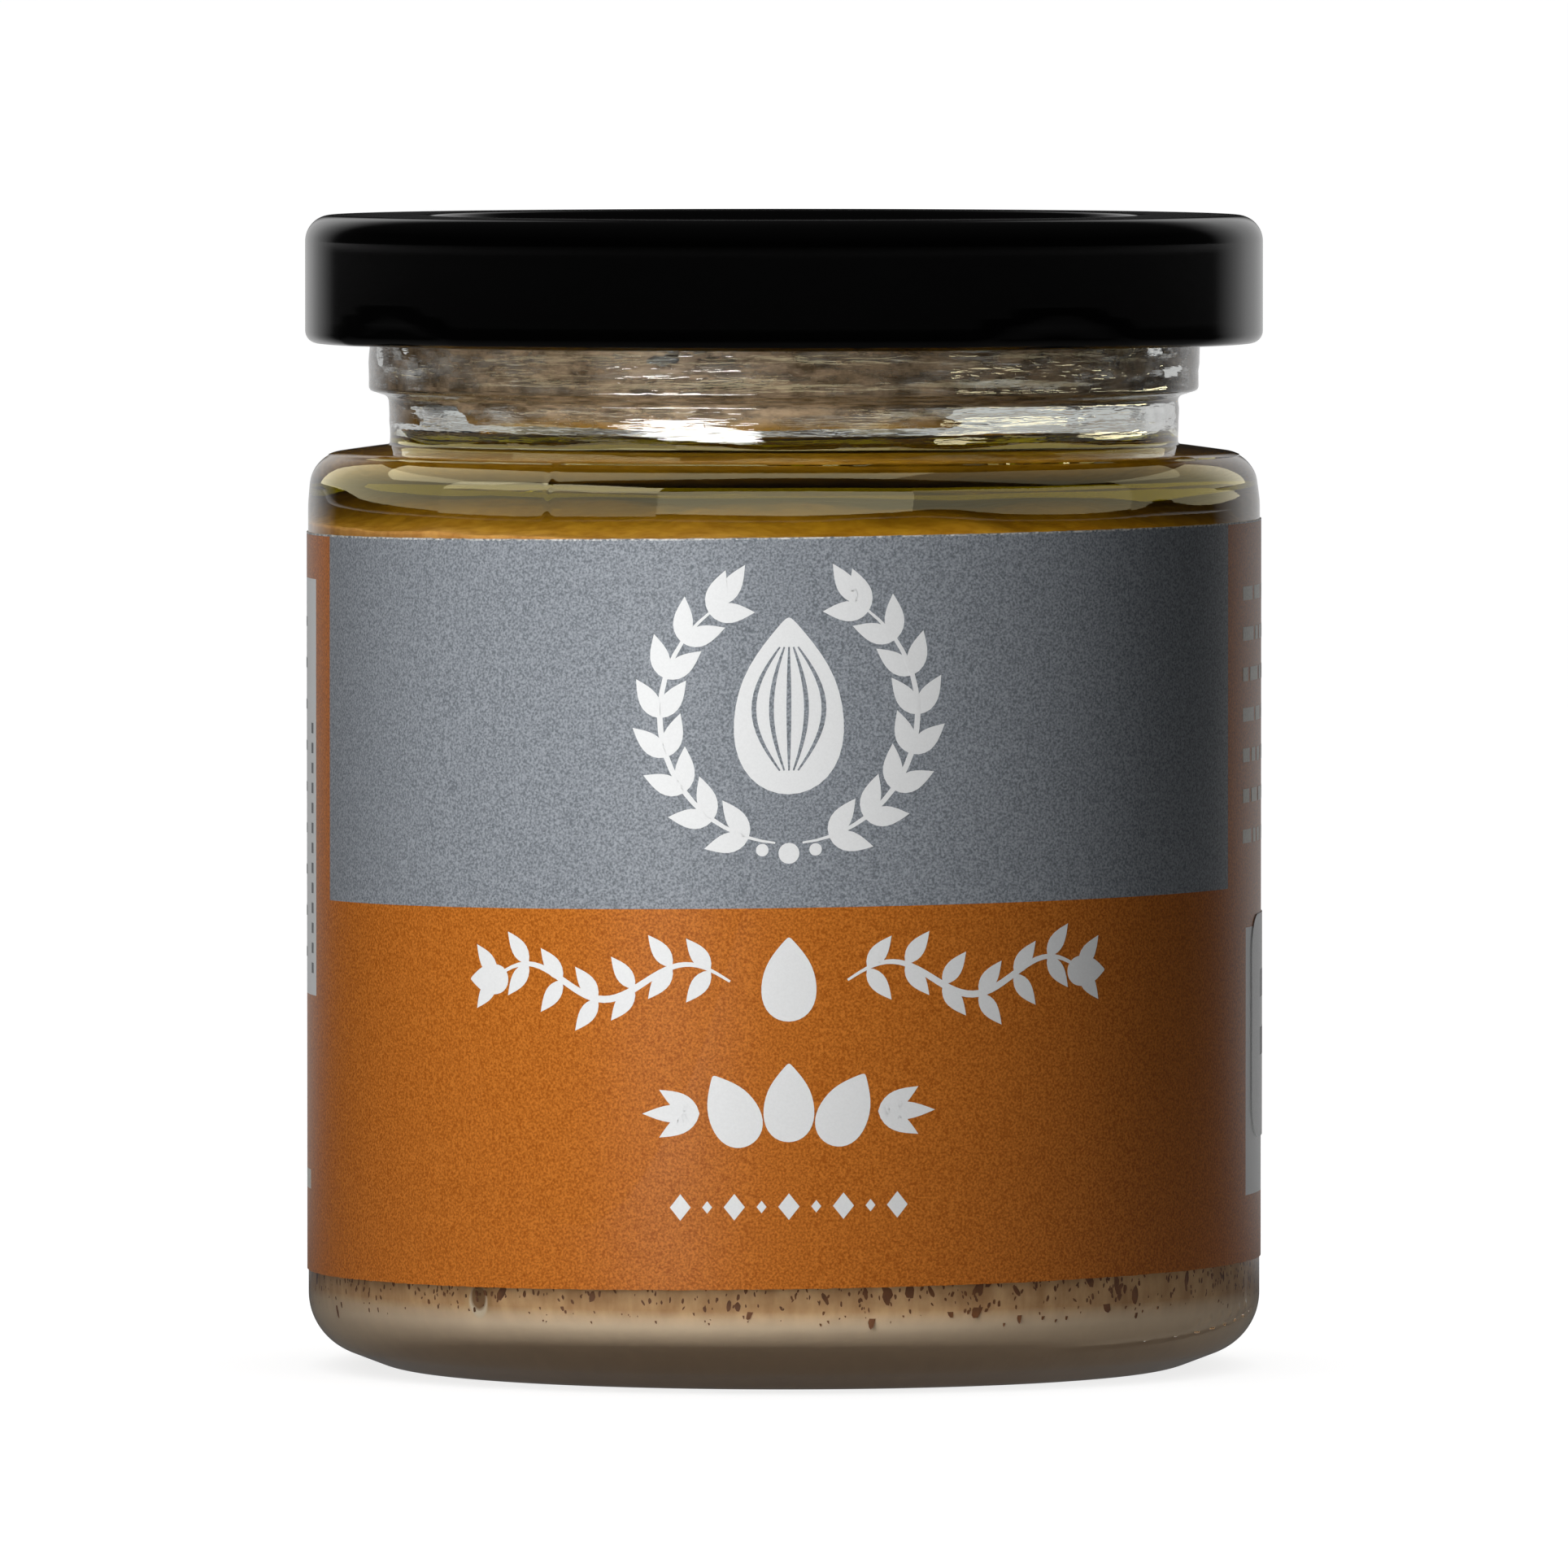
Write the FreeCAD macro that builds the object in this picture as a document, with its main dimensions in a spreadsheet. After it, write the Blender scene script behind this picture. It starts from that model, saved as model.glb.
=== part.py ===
import FreeCAD, Part
import math
import os
import Sketcher

# A squat glass jar for a 66 mm twist-off cap, filled with almond butter under a layer of its own oil.
# The axis of the jar is Z, its foot stands on z = 0 and its front faces -Y. All sizes are in millimetres.

doc = FreeCAD.newDocument("AlmondButterJar")
sheet = doc.addObject("Spreadsheet::Sheet", "Sizes")

SIZES = [
    # the glass, outside
    ("body_diameter", 69.2, "outside of the glass body"),
    ("shoulder_height", 66.25, "where the line of the wall meets the slope of the shoulder"),
    ("shoulder_rise", 0.8, "climb of the shoulder from the wall to the neck"),
    ("shoulder_radius", 2.6, "outer corner of the shoulder"),
    ("neck_diameter", 57.4, "waist between the shoulder and the finish"),
    ("neck_height", 3.5, "length of the waist"),
    ("bead_chamfer", 0.45, "height of the sloped underside of the finish"),
    ("finish_diameter", 60.4, "outside of the finish that the cap goes over"),
    ("finish_height", 11.75, "underside of the finish to the rim"),
    ("rim_radius", 0.6, "both edges of the rim"),
    ("neck_blend", 0.4, "small blends above and below the waist"),
    ("foot_diameter", 57.2, "outside of the ring the jar stands on"),
    ("foot_width", 1.4, "width of that ring"),
    ("heel_rise", 2.3, "climb of the heel from the foot to the line of the wall"),
    ("heel_radius", 4.5, "outer corner of the heel"),
    ("foot_blend", 0.8, "blends inside the standing ring"),
    ("foot_round", 5.0, "blend from the standing ring into the heel"),
    ("punt_run", 2.2, "width of the slope inside the standing ring"),
    ("punt_edge_height", 1.0, "height at the top of that slope"),
    ("push_up", 1.5, "height of the middle of the underside"),
    # the glass, inside
    ("body_wall", 2.5, "thickness of the wall"),
    ("base_thickness", 2.5, "thickness of the middle of the base"),
    ("inner_heel_radius", 2.5, "corner between the base and the wall inside"),
    ("mouth_diameter", 52.8, "bore of the neck"),
    ("shoulder_wall", 2.55, "thickness of the shoulder at its corner, measured upright"),
    ("throat_rise", 1.7, "climb of the shoulder inside"),
    ("throat_radius", 3.0, "blend from the shoulder into the bore"),
    ("inner_shoulder_radius", 1.5, "blend from the wall into the shoulder inside"),
    # the twist-off cap
    ("cap_room", 4.6, "from the finish to the outside of the skirt"),
    ("cap_height", 9.3, "curl to top"),
    ("sheet", 0.25, "lacquered tinplate"),
    ("cap_corner", 1.9, "bend from the top into the skirt"),
    ("panel_clearance", 1.2, "from the sunken middle of the top to the bore of the neck"),
    ("panel_step", 0.8, "how far the middle is sunk, and the width of its slope"),
    ("button_diameter", 25.0, "safety button"),
    ("button_drop", 0.35, "how far the vacuum draws the button down"),
    ("button_step", 1.2, "width of the slope round the button"),
    ("panel_blend", 0.45, "bends of the panel and the button"),
    ("curl_diameter", 1.8, "rolled edge of the skirt"),
    ("lug_count", 4, "lugs round the curl"),
    ("lug_azimuth", 35.0, "first lug, in degrees to the right of the front"),
    ("lug_width", 13.5, "width of a lug and of its dimple outside"),
    ("lug_nose_width", 8.5, "width of a lug at its inner edge"),
    ("lug_thickness", 1.3, "flattened curl"),
    ("lug_clearance", 0.6, "from a lug to the finish"),
    ("dimple_height", 1.7, "height of the arch pressed into the skirt at a lug"),
    # the sealing ring
    ("seal_thickness", 1.15, "between the rim and the top of the cap"),
    ("seal_inset", 0.2, "from the bore of the neck to the bore of the ring"),
    ("seal_overhang", 1.2, "how far the ring stands out past the finish"),
    # the contents
    ("headspace", 14.0, "from the rim down to the oil"),
    ("oil_depth", 6.7, "thickness of the layer of oil"),
    ("fill_clearance", 0.05, "between the contents and the wall"),
    # the wrap-round label and the sticker on it
    ("paper", 0.1, "thickness of the label and of the sticker"),
    ("label_bottom", 7.6, "lower edge at the front"),
    ("label_height", 53.6, "height of the label"),
    ("label_tilt", 0.8, "lean in degrees, right side up"),
    ("label_gap", 24.0, "bare glass between its ends at the back"),
    ("sticker_width", 26.0, "width of the date sticker"),
    ("sticker_height", 16.2, "height of the date sticker"),
    ("sticker_corner", 2.5, "its rounded corners"),
    ("sticker_azimuth", 98.5, "its middle, in degrees to the right of the front"),
    ("sticker_bottom", 16.9, "its lower edge"),
]

for row, (alias, value, note) in enumerate(SIZES, start=1):
    sheet.set(f"A{row}", alias)
    sheet.set(f"B{row}", str(value))
    sheet.set(f"C{row}", note)
    sheet.setAlias(f"B{row}", alias)

# Sizes that several pieces share, worked out in the sheet from the ones above.
WORKED_OUT = [
    ("body_radius", "=body_diameter / 2"),
    ("inner_radius", "=body_diameter / 2 - body_wall"),
    ("neck_base", "=shoulder_height + shoulder_rise"),
    ("finish_base", "=neck_base + neck_height"),
    ("glass_height", "=finish_base + finish_height"),
    ("base_top", "=push_up + base_thickness"),
    ("inner_shoulder", "=shoulder_height - shoulder_wall"),
    ("cap_diameter", "=finish_diameter + 2 * cap_room"),
    ("panel_diameter", "=mouth_diameter - 2 * panel_clearance"),
    ("cap_top", "=glass_height + seal_thickness + sheet"),
    ("cap_bottom", "=cap_top - cap_height"),
    ("curl_radius", "=curl_diameter / 2"),
    ("curl_middle", "=cap_bottom + curl_radius"),
    ("dimple_depth", "=sqrt(pow(cap_diameter / 2; 2) - pow(lug_width / 2; 2))"),
    ("dimple_radius", "=(pow(lug_width / 2; 2) + pow(dimple_height; 2)) / (2 * dimple_height)"),
    ("seal_inner", "=mouth_diameter + 2 * seal_inset"),
    ("seal_outer", "=finish_diameter + 2 * seal_overhang"),
    ("oil_level", "=glass_height - headspace"),
    ("butter_level", "=oil_level - oil_depth"),
    ("label_radius", "=body_diameter / 2 + paper"),
]

for row, (alias, formula) in enumerate(WORKED_OUT, start=len(SIZES) + 1):
    sheet.set(f"A{row}", alias)
    sheet.set(f"B{row}", formula)
    sheet.setAlias(f"B{row}", alias)

doc.recompute()

CLEAR = 20.0  # how far a cutting outline stands out past what it cuts


def size(alias):
    return float(sheet.get(alias))


def new_body(name, label):
    body = doc.addObject("PartDesign::Body", name)
    body.Label = label
    body.Placement = FreeCAD.Placement()
    return body


def new_sketch(body, name, plane, offset=None):
    """A sketch on one of the body's own origin planes, lifted off it by an expression if one is given."""
    sketch = body.newObject("Sketcher::SketchObject", name)
    base = [f for f in body.Origin.OriginFeatures if f.Role == plane][0]
    sketch.AttachmentSupport = [(base, "")]
    sketch.MapMode = "FlatFace"
    if offset is not None:
        sketch.setExpression("AttachmentOffset.Base.z", offset)
    doc.recompute()
    return sketch


def bind(sketch, constraint, expression):
    """Adds a dimension and ties it to the sheet."""
    index = sketch.addConstraint(constraint)
    sketch.setExpression(f"Constraints[{index}]", expression)


def place(sketch, geometry, vertex, across, up):
    """Holds one vertex at two expressions, each measured from the middle of the sketch."""
    for kind, axis, expression in (("DistanceX", -2, across), ("DistanceY", -1, up)):
        if expression == "0":
            sketch.addConstraint(Sketcher.Constraint("PointOnObject", geometry, vertex, axis))
        else:
            value = sketch.evalExpression(expression)
            dimension = Sketcher.Constraint(kind, -1, 1, geometry, vertex, float(value))
            bind(sketch, dimension, expression)


def outline(sketch, corners):
    """A closed outline of straight lines through corners given as pairs of expressions."""
    points = []
    for across, up in corners:
        x = float(sketch.evalExpression(across))
        y = float(sketch.evalExpression(up))
        points.append(FreeCAD.Vector(x, y, 0))
    first = sketch.GeometryCount
    count = len(points)
    for i in range(count):
        sketch.addGeometry(Part.LineSegment(points[i], points[(i + 1) % count]))
    for i in range(count):
        here = first + i
        after = first + (i + 1) % count
        sketch.addConstraint(Sketcher.Constraint("Coincident", here, 2, after, 1))
    for i, (across, up) in enumerate(corners):
        place(sketch, first + i, 1, across, up)


def circle(sketch, radius, up="0"):
    """A circle on the sketch's upright axis."""
    value = float(sketch.evalExpression(radius))
    middle = FreeCAD.Vector(0, float(sketch.evalExpression(up)), 0)
    index = sketch.addGeometry(Part.Circle(middle, FreeCAD.Vector(0, 0, 1), value))
    place(sketch, index, 3, "0", up)
    bind(sketch, Sketcher.Constraint("Radius", index, value), radius)


def add_feature(body, kind, name, sketch):
    feature = body.newObject(f"PartDesign::{kind}", name)
    feature.Profile = sketch
    sketch.Visibility = False
    return feature


def revolve(body, name, sketch):
    turned = add_feature(body, "Revolution", name, sketch)
    turned.ReferenceAxis = (sketch, ["V_Axis"])
    turned.Angle = 360.0
    doc.recompute()
    return turned


def cut_through(body, name, sketch, both_ways=True):
    """Cuts a sketch right through the body, on both sides of its plane or only against its normal."""
    before = body.Shape.Volume
    pocket = add_feature(body, "Pocket", name, sketch)
    pocket.Type = "ThroughAll"
    pocket.Midplane = both_ways
    doc.recompute()
    if not 0 < body.Shape.Volume < before:
        raise RuntimeError(f"{name} cuts nothing")
    return pocket


def fillet(body, name, circles, radius):
    """Rounds full circles round the axis, each given by its radius and height in the sheet's own names."""
    base = body.Tip
    found = []
    for across, up in circles:
        r = float(sheet.evalExpression(across))
        z = float(sheet.evalExpression(up))
        for number, edge in enumerate(base.Shape.Edges, start=1):
            if not isinstance(edge.Curve, Part.Circle):
                continue
            level = abs(edge.Curve.Center.z - z) < 1e-4
            if level and abs(edge.Curve.Radius - r) < 1e-4:
                found.append(f"Edge{number}")
    if len(found) < len(circles):
        raise RuntimeError(f"{name} misses an edge")
    rounded = body.newObject("PartDesign::Fillet", name)
    rounded.Base = (base, found)
    rounded.Radius = float(sheet.evalExpression(radius))
    rounded.setExpression("Radius", radius)
    doc.recompute()
    return rounded


# ---------------------------------------------------------------------------- glass jar

jar = new_body("GlassJar", "glass_jar")
profile = new_sketch(jar, "JarProfile", "XZ_Plane")
PUNT_EDGE = "Sizes.foot_diameter / 2 - Sizes.foot_width - Sizes.punt_run"
FOOT_INSIDE = "Sizes.foot_diameter / 2 - Sizes.foot_width"
outline(profile, [
    ("0", "Sizes.push_up"),
    (PUNT_EDGE, "Sizes.punt_edge_height"),
    (FOOT_INSIDE, "0"),
    ("Sizes.foot_diameter / 2", "0"),
    ("Sizes.body_radius", "Sizes.heel_rise"),
    ("Sizes.body_radius", "Sizes.shoulder_height"),
    ("Sizes.neck_diameter / 2", "Sizes.neck_base"),
    ("Sizes.neck_diameter / 2", "Sizes.finish_base"),
    ("Sizes.finish_diameter / 2", "Sizes.finish_base + Sizes.bead_chamfer"),
    ("Sizes.finish_diameter / 2", "Sizes.glass_height"),
    ("Sizes.mouth_diameter / 2", "Sizes.glass_height"),
    ("Sizes.mouth_diameter / 2", "Sizes.inner_shoulder + Sizes.throat_rise"),
    ("Sizes.inner_radius", "Sizes.inner_shoulder"),
    ("Sizes.inner_radius", "Sizes.base_top"),
    ("0", "Sizes.base_top"),
])
revolve(jar, "JarWall", profile)
fillet(jar, "Shoulder", [("body_radius", "shoulder_height")], "Sizes.shoulder_radius")
fillet(jar, "Heel", [("body_radius", "heel_rise")], "Sizes.heel_radius")
fillet(jar, "InnerHeel", [("inner_radius", "base_top")], "Sizes.inner_heel_radius")
fillet(jar, "Throat", [("mouth_diameter / 2", "inner_shoulder + throat_rise")], "Sizes.throat_radius")
fillet(jar, "InnerShoulder", [("inner_radius", "inner_shoulder")], "Sizes.inner_shoulder_radius")
fillet(jar, "FootRound", [("foot_diameter / 2", "0")], "Sizes.foot_round")
fillet(jar, "FootBlends", [
    ("foot_diameter / 2 - foot_width", "0"),
    ("foot_diameter / 2 - foot_width - punt_run", "punt_edge_height"),
], "Sizes.foot_blend")
fillet(jar, "NeckBlends", [
    ("neck_diameter / 2", "neck_base"),
    ("neck_diameter / 2", "finish_base"),
    ("finish_diameter / 2", "finish_base + bead_chamfer"),
], "Sizes.neck_blend")
fillet(jar, "Rim", [
    ("finish_diameter / 2", "glass_height"),
    ("mouth_diameter / 2", "glass_height"),
], "Sizes.rim_radius")

# ---------------------------------------------------------------------------- twist-off cap

# The body is turned at the end, so that a lug drawn on +X comes to rest at its azimuth.
cap = new_body("TwistOffCap", "lid")
blank = new_sketch(cap, "CapBlank", "XZ_Plane")
BUTTON_Z = "Sizes.cap_top - Sizes.panel_step - Sizes.button_drop"
PANEL_Z = "Sizes.cap_top - Sizes.panel_step"
outline(blank, [
    ("0", "Sizes.curl_middle"),
    ("Sizes.cap_diameter / 2", "Sizes.curl_middle"),
    ("Sizes.cap_diameter / 2", "Sizes.cap_top"),
    ("Sizes.panel_diameter / 2 + Sizes.panel_step", "Sizes.cap_top"),
    ("Sizes.panel_diameter / 2", PANEL_Z),
    ("Sizes.button_diameter / 2 + Sizes.button_step", PANEL_Z),
    ("Sizes.button_diameter / 2", BUTTON_Z),
    ("0", BUTTON_Z),
])
revolve(cap, "CapBlankSolid", blank)
fillet(cap, "CapCorner", [("cap_diameter / 2", "cap_top")], "Sizes.cap_corner")
fillet(cap, "PanelBends", [
    ("panel_diameter / 2 + panel_step", "cap_top"),
    ("panel_diameter / 2", "cap_top - panel_step"),
    ("button_diameter / 2 + button_step", "cap_top - panel_step"),
    ("button_diameter / 2", "cap_top - panel_step - button_drop"),
], "Sizes.panel_blend")

# The blank is hollowed from below to the thickness of the sheet.
under = cap.Tip
lowest = [
    f"Face{number}"
    for number, face in enumerate(under.Shape.Faces, start=1)
    if abs(face.CenterOfMass.z - size("curl_middle")) < 1e-4
]
sheet_metal = cap.newObject("PartDesign::Thickness", "SheetMetal")
sheet_metal.Base = (under, lowest)
sheet_metal.Value = size("sheet")
sheet_metal.setExpression("Value", "Sizes.sheet")
sheet_metal.Reversed = True
sheet_metal.Mode = 0
sheet_metal.Join = 0
doc.recompute()

# The lower edge of the skirt is rolled inward by three quarters of a turn.
roll = new_sketch(cap, "CurlSection", "XZ_Plane")
curl_middle = FreeCAD.Vector(size("cap_diameter") / 2 - size("curl_radius"), size("curl_middle"), 0)
for curl_radius in (size("curl_radius"), size("curl_radius") - size("sheet")):
    ring = Part.Circle(curl_middle, FreeCAD.Vector(0, 0, 1), curl_radius)
    roll.addGeometry(Part.ArcOfCircle(ring, math.pi / 2, 2 * math.pi))
for vertex in (1, 2):
    start = roll.getPoint(0, vertex)
    end = roll.getPoint(1, vertex)
    line = roll.addGeometry(Part.LineSegment(start, end))
    roll.addConstraint(Sketcher.Constraint("Coincident", 0, vertex, line, 1))
    roll.addConstraint(Sketcher.Constraint("Coincident", 1, vertex, line, 2))
roll.addConstraint(Sketcher.Constraint("Coincident", 0, 3, 1, 3))
roll.addConstraint(Sketcher.Constraint("Vertical", 2))
roll.addConstraint(Sketcher.Constraint("Horizontal", 3))
roll.addConstraint(Sketcher.Constraint("Vertical", 0, 3, 0, 1))
roll.addConstraint(Sketcher.Constraint("Horizontal", 0, 3, 0, 2))
place(roll, 0, 3, "Sizes.cap_diameter / 2 - Sizes.curl_radius", "Sizes.curl_middle")
bind(roll, Sketcher.Constraint("Radius", 0, size("curl_radius")), "Sizes.curl_radius")
inner_curl = size("curl_radius") - size("sheet")
bind(roll, Sketcher.Constraint("Radius", 1, inner_curl), "Sizes.curl_radius - Sizes.sheet")
revolve(cap, "Curl", roll)

# A lug is the curl pressed flat and pushed in under the thread. Its back stands in the sheet of the skirt.
nose = new_sketch(cap, "LugOutline", "XY_Plane", "Sizes.cap_bottom + Sizes.sheet / 2")
LUG_BACK = "Sizes.cap_diameter / 2 - Sizes.sheet / 2"
LUG_NOSE = "Sizes.finish_diameter / 2 + Sizes.lug_clearance"
for radius, width in ((LUG_BACK, "lug_width"), (LUG_NOSE, "lug_nose_width")):
    value = float(nose.evalExpression(radius))
    half = math.asin(size(width) / 2 / value)
    ring = Part.Circle(FreeCAD.Vector(0, 0, 0), FreeCAD.Vector(0, 0, 1), value)
    arc = nose.addGeometry(Part.ArcOfCircle(ring, -half, half))
    nose.addConstraint(Sketcher.Constraint("Coincident", arc, 3, -1, 1))
    bind(nose, Sketcher.Constraint("Radius", arc, value), radius)
    for vertex, side in ((1, -1), (2, 1)):
        reach = Sketcher.Constraint("DistanceY", -1, 1, arc, vertex, side * size(width) / 2)
        bind(nose, reach, f"{side} * Sizes.{width} / 2")
for vertex in (1, 2):
    line = nose.addGeometry(Part.LineSegment(nose.getPoint(0, vertex), nose.getPoint(1, vertex)))
    nose.addConstraint(Sketcher.Constraint("Coincident", 0, vertex, line, 1))
    nose.addConstraint(Sketcher.Constraint("Coincident", 1, vertex, line, 2))
lug = add_feature(cap, "Pad", "Lug", nose)
lug.Length = size("lug_thickness")
lug.setExpression("Length", "Sizes.lug_thickness")
doc.recompute()


def repeat_round(body, name, feature):
    """Repeats a feature of the cap once for each lug, about the axis that the lug's sketch lies across."""
    pattern = body.newObject("PartDesign::PolarPattern", name)
    pattern.Originals = [feature]
    pattern.Axis = (nose, ["N_Axis"])
    pattern.Angle = 360.0
    pattern.Occurrences = int(size("lug_count"))
    pattern.setExpression("Occurrences", "Sizes.lug_count")
    body.Tip = pattern
    doc.recompute()
    return pattern


repeat_round(cap, "Lugs", lug)

# The press that forms a lug leaves a flat arch in the skirt outside it.
arch = new_sketch(cap, "DimpleArch", "YZ_Plane", "Sizes.dimple_depth")
circle(arch, "Sizes.dimple_radius", "Sizes.cap_bottom + Sizes.dimple_height - Sizes.dimple_radius")
dimple = add_feature(cap, "Pocket", "Dimple", arch)
dimple.Type = "ThroughAll"
dimple.Reversed = True
before = cap.Shape.Volume
doc.recompute()
if not 0 < cap.Shape.Volume < before:
    raise RuntimeError("Dimple cuts nothing")
repeat_round(cap, "Dimples", dimple)
turn = FreeCAD.Rotation(FreeCAD.Vector(0, 0, 1), size("lug_azimuth") - 90.0)
cap.Placement = FreeCAD.Placement(FreeCAD.Vector(0, 0, 0), turn)

# ---------------------------------------------------------------------------- sealing ring

seal = new_body("SealingRing", "lid_seal")
section = new_sketch(seal, "SealSection", "XZ_Plane")
outline(section, [
    ("Sizes.seal_inner / 2", "Sizes.glass_height"),
    ("Sizes.seal_outer / 2", "Sizes.glass_height"),
    ("Sizes.seal_outer / 2", "Sizes.glass_height + Sizes.seal_thickness"),
    ("Sizes.seal_inner / 2", "Sizes.glass_height + Sizes.seal_thickness"),
])
revolve(seal, "SealRing", section)

# ---------------------------------------------------------------------------- contents

FILL_RADIUS = "inner_radius - fill_clearance"
BORE_FILL = "mouth_diameter / 2 - fill_clearance"
SHOULDER_FILL = "inner_shoulder - fill_clearance"
THROAT_FILL = "inner_shoulder + throat_rise - fill_clearance"


def fill_jar(body):
    """The whole space inside the glass up to the rim, less the clearance at the wall."""
    space = new_sketch(body, "SpaceProfile", "XZ_Plane")
    outline(space, [
        ("0", "Sizes.base_top"),
        ("Sizes.inner_radius - Sizes.fill_clearance", "Sizes.base_top"),
        ("Sizes.inner_radius - Sizes.fill_clearance", "Sizes.inner_shoulder - Sizes.fill_clearance"),
        (
            "Sizes.mouth_diameter / 2 - Sizes.fill_clearance",
            "Sizes.inner_shoulder + Sizes.throat_rise - Sizes.fill_clearance",
        ),
        ("Sizes.mouth_diameter / 2 - Sizes.fill_clearance", "Sizes.glass_height"),
        ("0", "Sizes.glass_height"),
    ])
    revolve(body, "Space", space)
    fillet(body, "HeelFill", [(FILL_RADIUS, "base_top")], "Sizes.inner_heel_radius")
    fillet(body, "ShoulderFill", [(FILL_RADIUS, SHOULDER_FILL)], "Sizes.inner_shoulder_radius")
    fillet(body, "ThroatFill", [(BORE_FILL, THROAT_FILL)], "Sizes.throat_radius")


def cut_band(body, name, low, high):
    """Takes away what lies between two levels, given as expressions."""
    band = new_sketch(body, name, "XZ_Plane")
    reach = f"(Sizes.body_radius + {CLEAR})"
    outline(band, [(f"-{reach}", low), (reach, low), (reach, high), (f"-{reach}", high)])
    cut_through(body, f"{name}Cut", band)


butter = new_body("AlmondButter", "almond_butter")
fill_jar(butter)
cut_band(butter, "AboveButter", "Sizes.butter_level", f"Sizes.glass_height + {CLEAR}")

oil = new_body("OilLayer", "oil_layer")
fill_jar(oil)
cut_band(oil, "AboveOil", "Sizes.oil_level", f"Sizes.glass_height + {CLEAR}")
cut_band(oil, "BelowOil", f"-{CLEAR}", "Sizes.butter_level")

# ---------------------------------------------------------------------------- label and sticker


def paper_ring(body, inside, outside, height):
    """A thin upright tube from z = 0, which the cuts after it trim to the shape of the paper."""
    rings = new_sketch(body, "Rings", "XY_Plane")
    circle(rings, inside)
    circle(rings, outside)
    tube = add_feature(body, "Pad", "PaperTube", rings)
    tube.Length = float(sheet.evalExpression(height))
    tube.setExpression("Length", height)
    doc.recompute()


label = new_body("Label", "label")
paper_ring(label, "Sizes.body_radius", "Sizes.label_radius", "Sizes.shoulder_height")
REACH = f"(Sizes.label_radius + {CLEAR})"
LEAN = f"{REACH} * tan(Sizes.label_tilt * 1 deg)"
LABEL_TOP = "Sizes.label_bottom + Sizes.label_height"
for name, edge, far in (
    ("TopEdge", LABEL_TOP, f"Sizes.shoulder_height + {CLEAR}"),
    ("BottomEdge", "Sizes.label_bottom", f"-{CLEAR}"),
):
    cut = new_sketch(label, name, "XZ_Plane")
    outline(cut, [
        (f"-{REACH}", f"{edge} - {LEAN}"),
        (REACH, f"{edge} + {LEAN}"),
        (REACH, far),
        (f"-{REACH}", far),
    ])
    cut_through(label, f"{name}Cut", cut)
ends = new_sketch(label, "Ends", "XZ_Plane")
outline(ends, [
    ("-Sizes.label_gap / 2", f"-{CLEAR}"),
    ("Sizes.label_gap / 2", f"-{CLEAR}"),
    ("Sizes.label_gap / 2", f"Sizes.shoulder_height + {CLEAR}"),
    ("-Sizes.label_gap / 2", f"Sizes.shoulder_height + {CLEAR}"),
])
cut_through(label, "EndsCut", ends, both_ways=False)

sticker = new_body("DateSticker", "date_sticker")
card = new_sketch(sticker, "StickerOutline", "YZ_Plane")
outline(card, [
    ("-Sizes.sticker_width / 2", "Sizes.sticker_bottom"),
    ("Sizes.sticker_width / 2", "Sizes.sticker_bottom"),
    ("Sizes.sticker_width / 2", "Sizes.sticker_bottom + Sizes.sticker_height"),
    ("-Sizes.sticker_width / 2", "Sizes.sticker_bottom + Sizes.sticker_height"),
])
slab = add_feature(sticker, "Pad", "StickerSlab", card)
slab.Length = size("label_radius") + CLEAR
slab.setExpression("Length", f"Sizes.label_radius + {CLEAR}")
doc.recompute()
corners = [
    f"Edge{number}"
    for number, edge in enumerate(slab.Shape.Edges, start=1)
    if abs(abs(edge.tangentAt(edge.FirstParameter).x) - 1) < 1e-6
]
rounding = sticker.newObject("PartDesign::Fillet", "StickerCorners")
rounding.Base = (slab, corners)
rounding.Radius = size("sticker_corner")
rounding.setExpression("Radius", "Sizes.sticker_corner")
doc.recompute()
# What lies inside the face of the label and what lies outside the sticker's own face are cut away.
inner = new_sketch(sticker, "InsideLabel", "XY_Plane")
circle(inner, "Sizes.label_radius")
cut_through(sticker, "InsideLabelCut", inner)
outer = new_sketch(sticker, "OutsideSticker", "XY_Plane")
circle(outer, "Sizes.label_radius + Sizes.paper")
circle(outer, f"Sizes.label_radius + 2 * {CLEAR}")
cut_through(sticker, "OutsideStickerCut", outer)
turn = FreeCAD.Rotation(FreeCAD.Vector(0, 0, 1), size("sticker_azimuth") - 90.0)
sticker.Placement = FreeCAD.Placement(FreeCAD.Vector(0, 0, 0), turn)

# ---------------------------------------------------------------------------- check and export

doc.recompute()
for thing in doc.Objects:
    if "Invalid" in thing.State or "Error" in thing.State:
        raise RuntimeError(f"{thing.Name} did not build: {thing.State}")

os.makedirs("parts", exist_ok=True)
for body in (jar, cap, seal, butter, oil, label, sticker):
    shape = body.Shape
    if shape.isNull() or not shape.isValid() or len(shape.Solids) != 1:
        raise RuntimeError(f"{body.Label} is not one valid solid")
    shape.exportStep(f"parts/{body.Label}.step")
    box = shape.BoundBox
    print(f"{body.Label}: {shape.Volume:.1f} mm3, z {box.ZMin:.3f} to {box.ZMax:.3f}")
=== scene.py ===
import math
import random

import bmesh
import bpy
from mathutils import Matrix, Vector, noise


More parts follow.
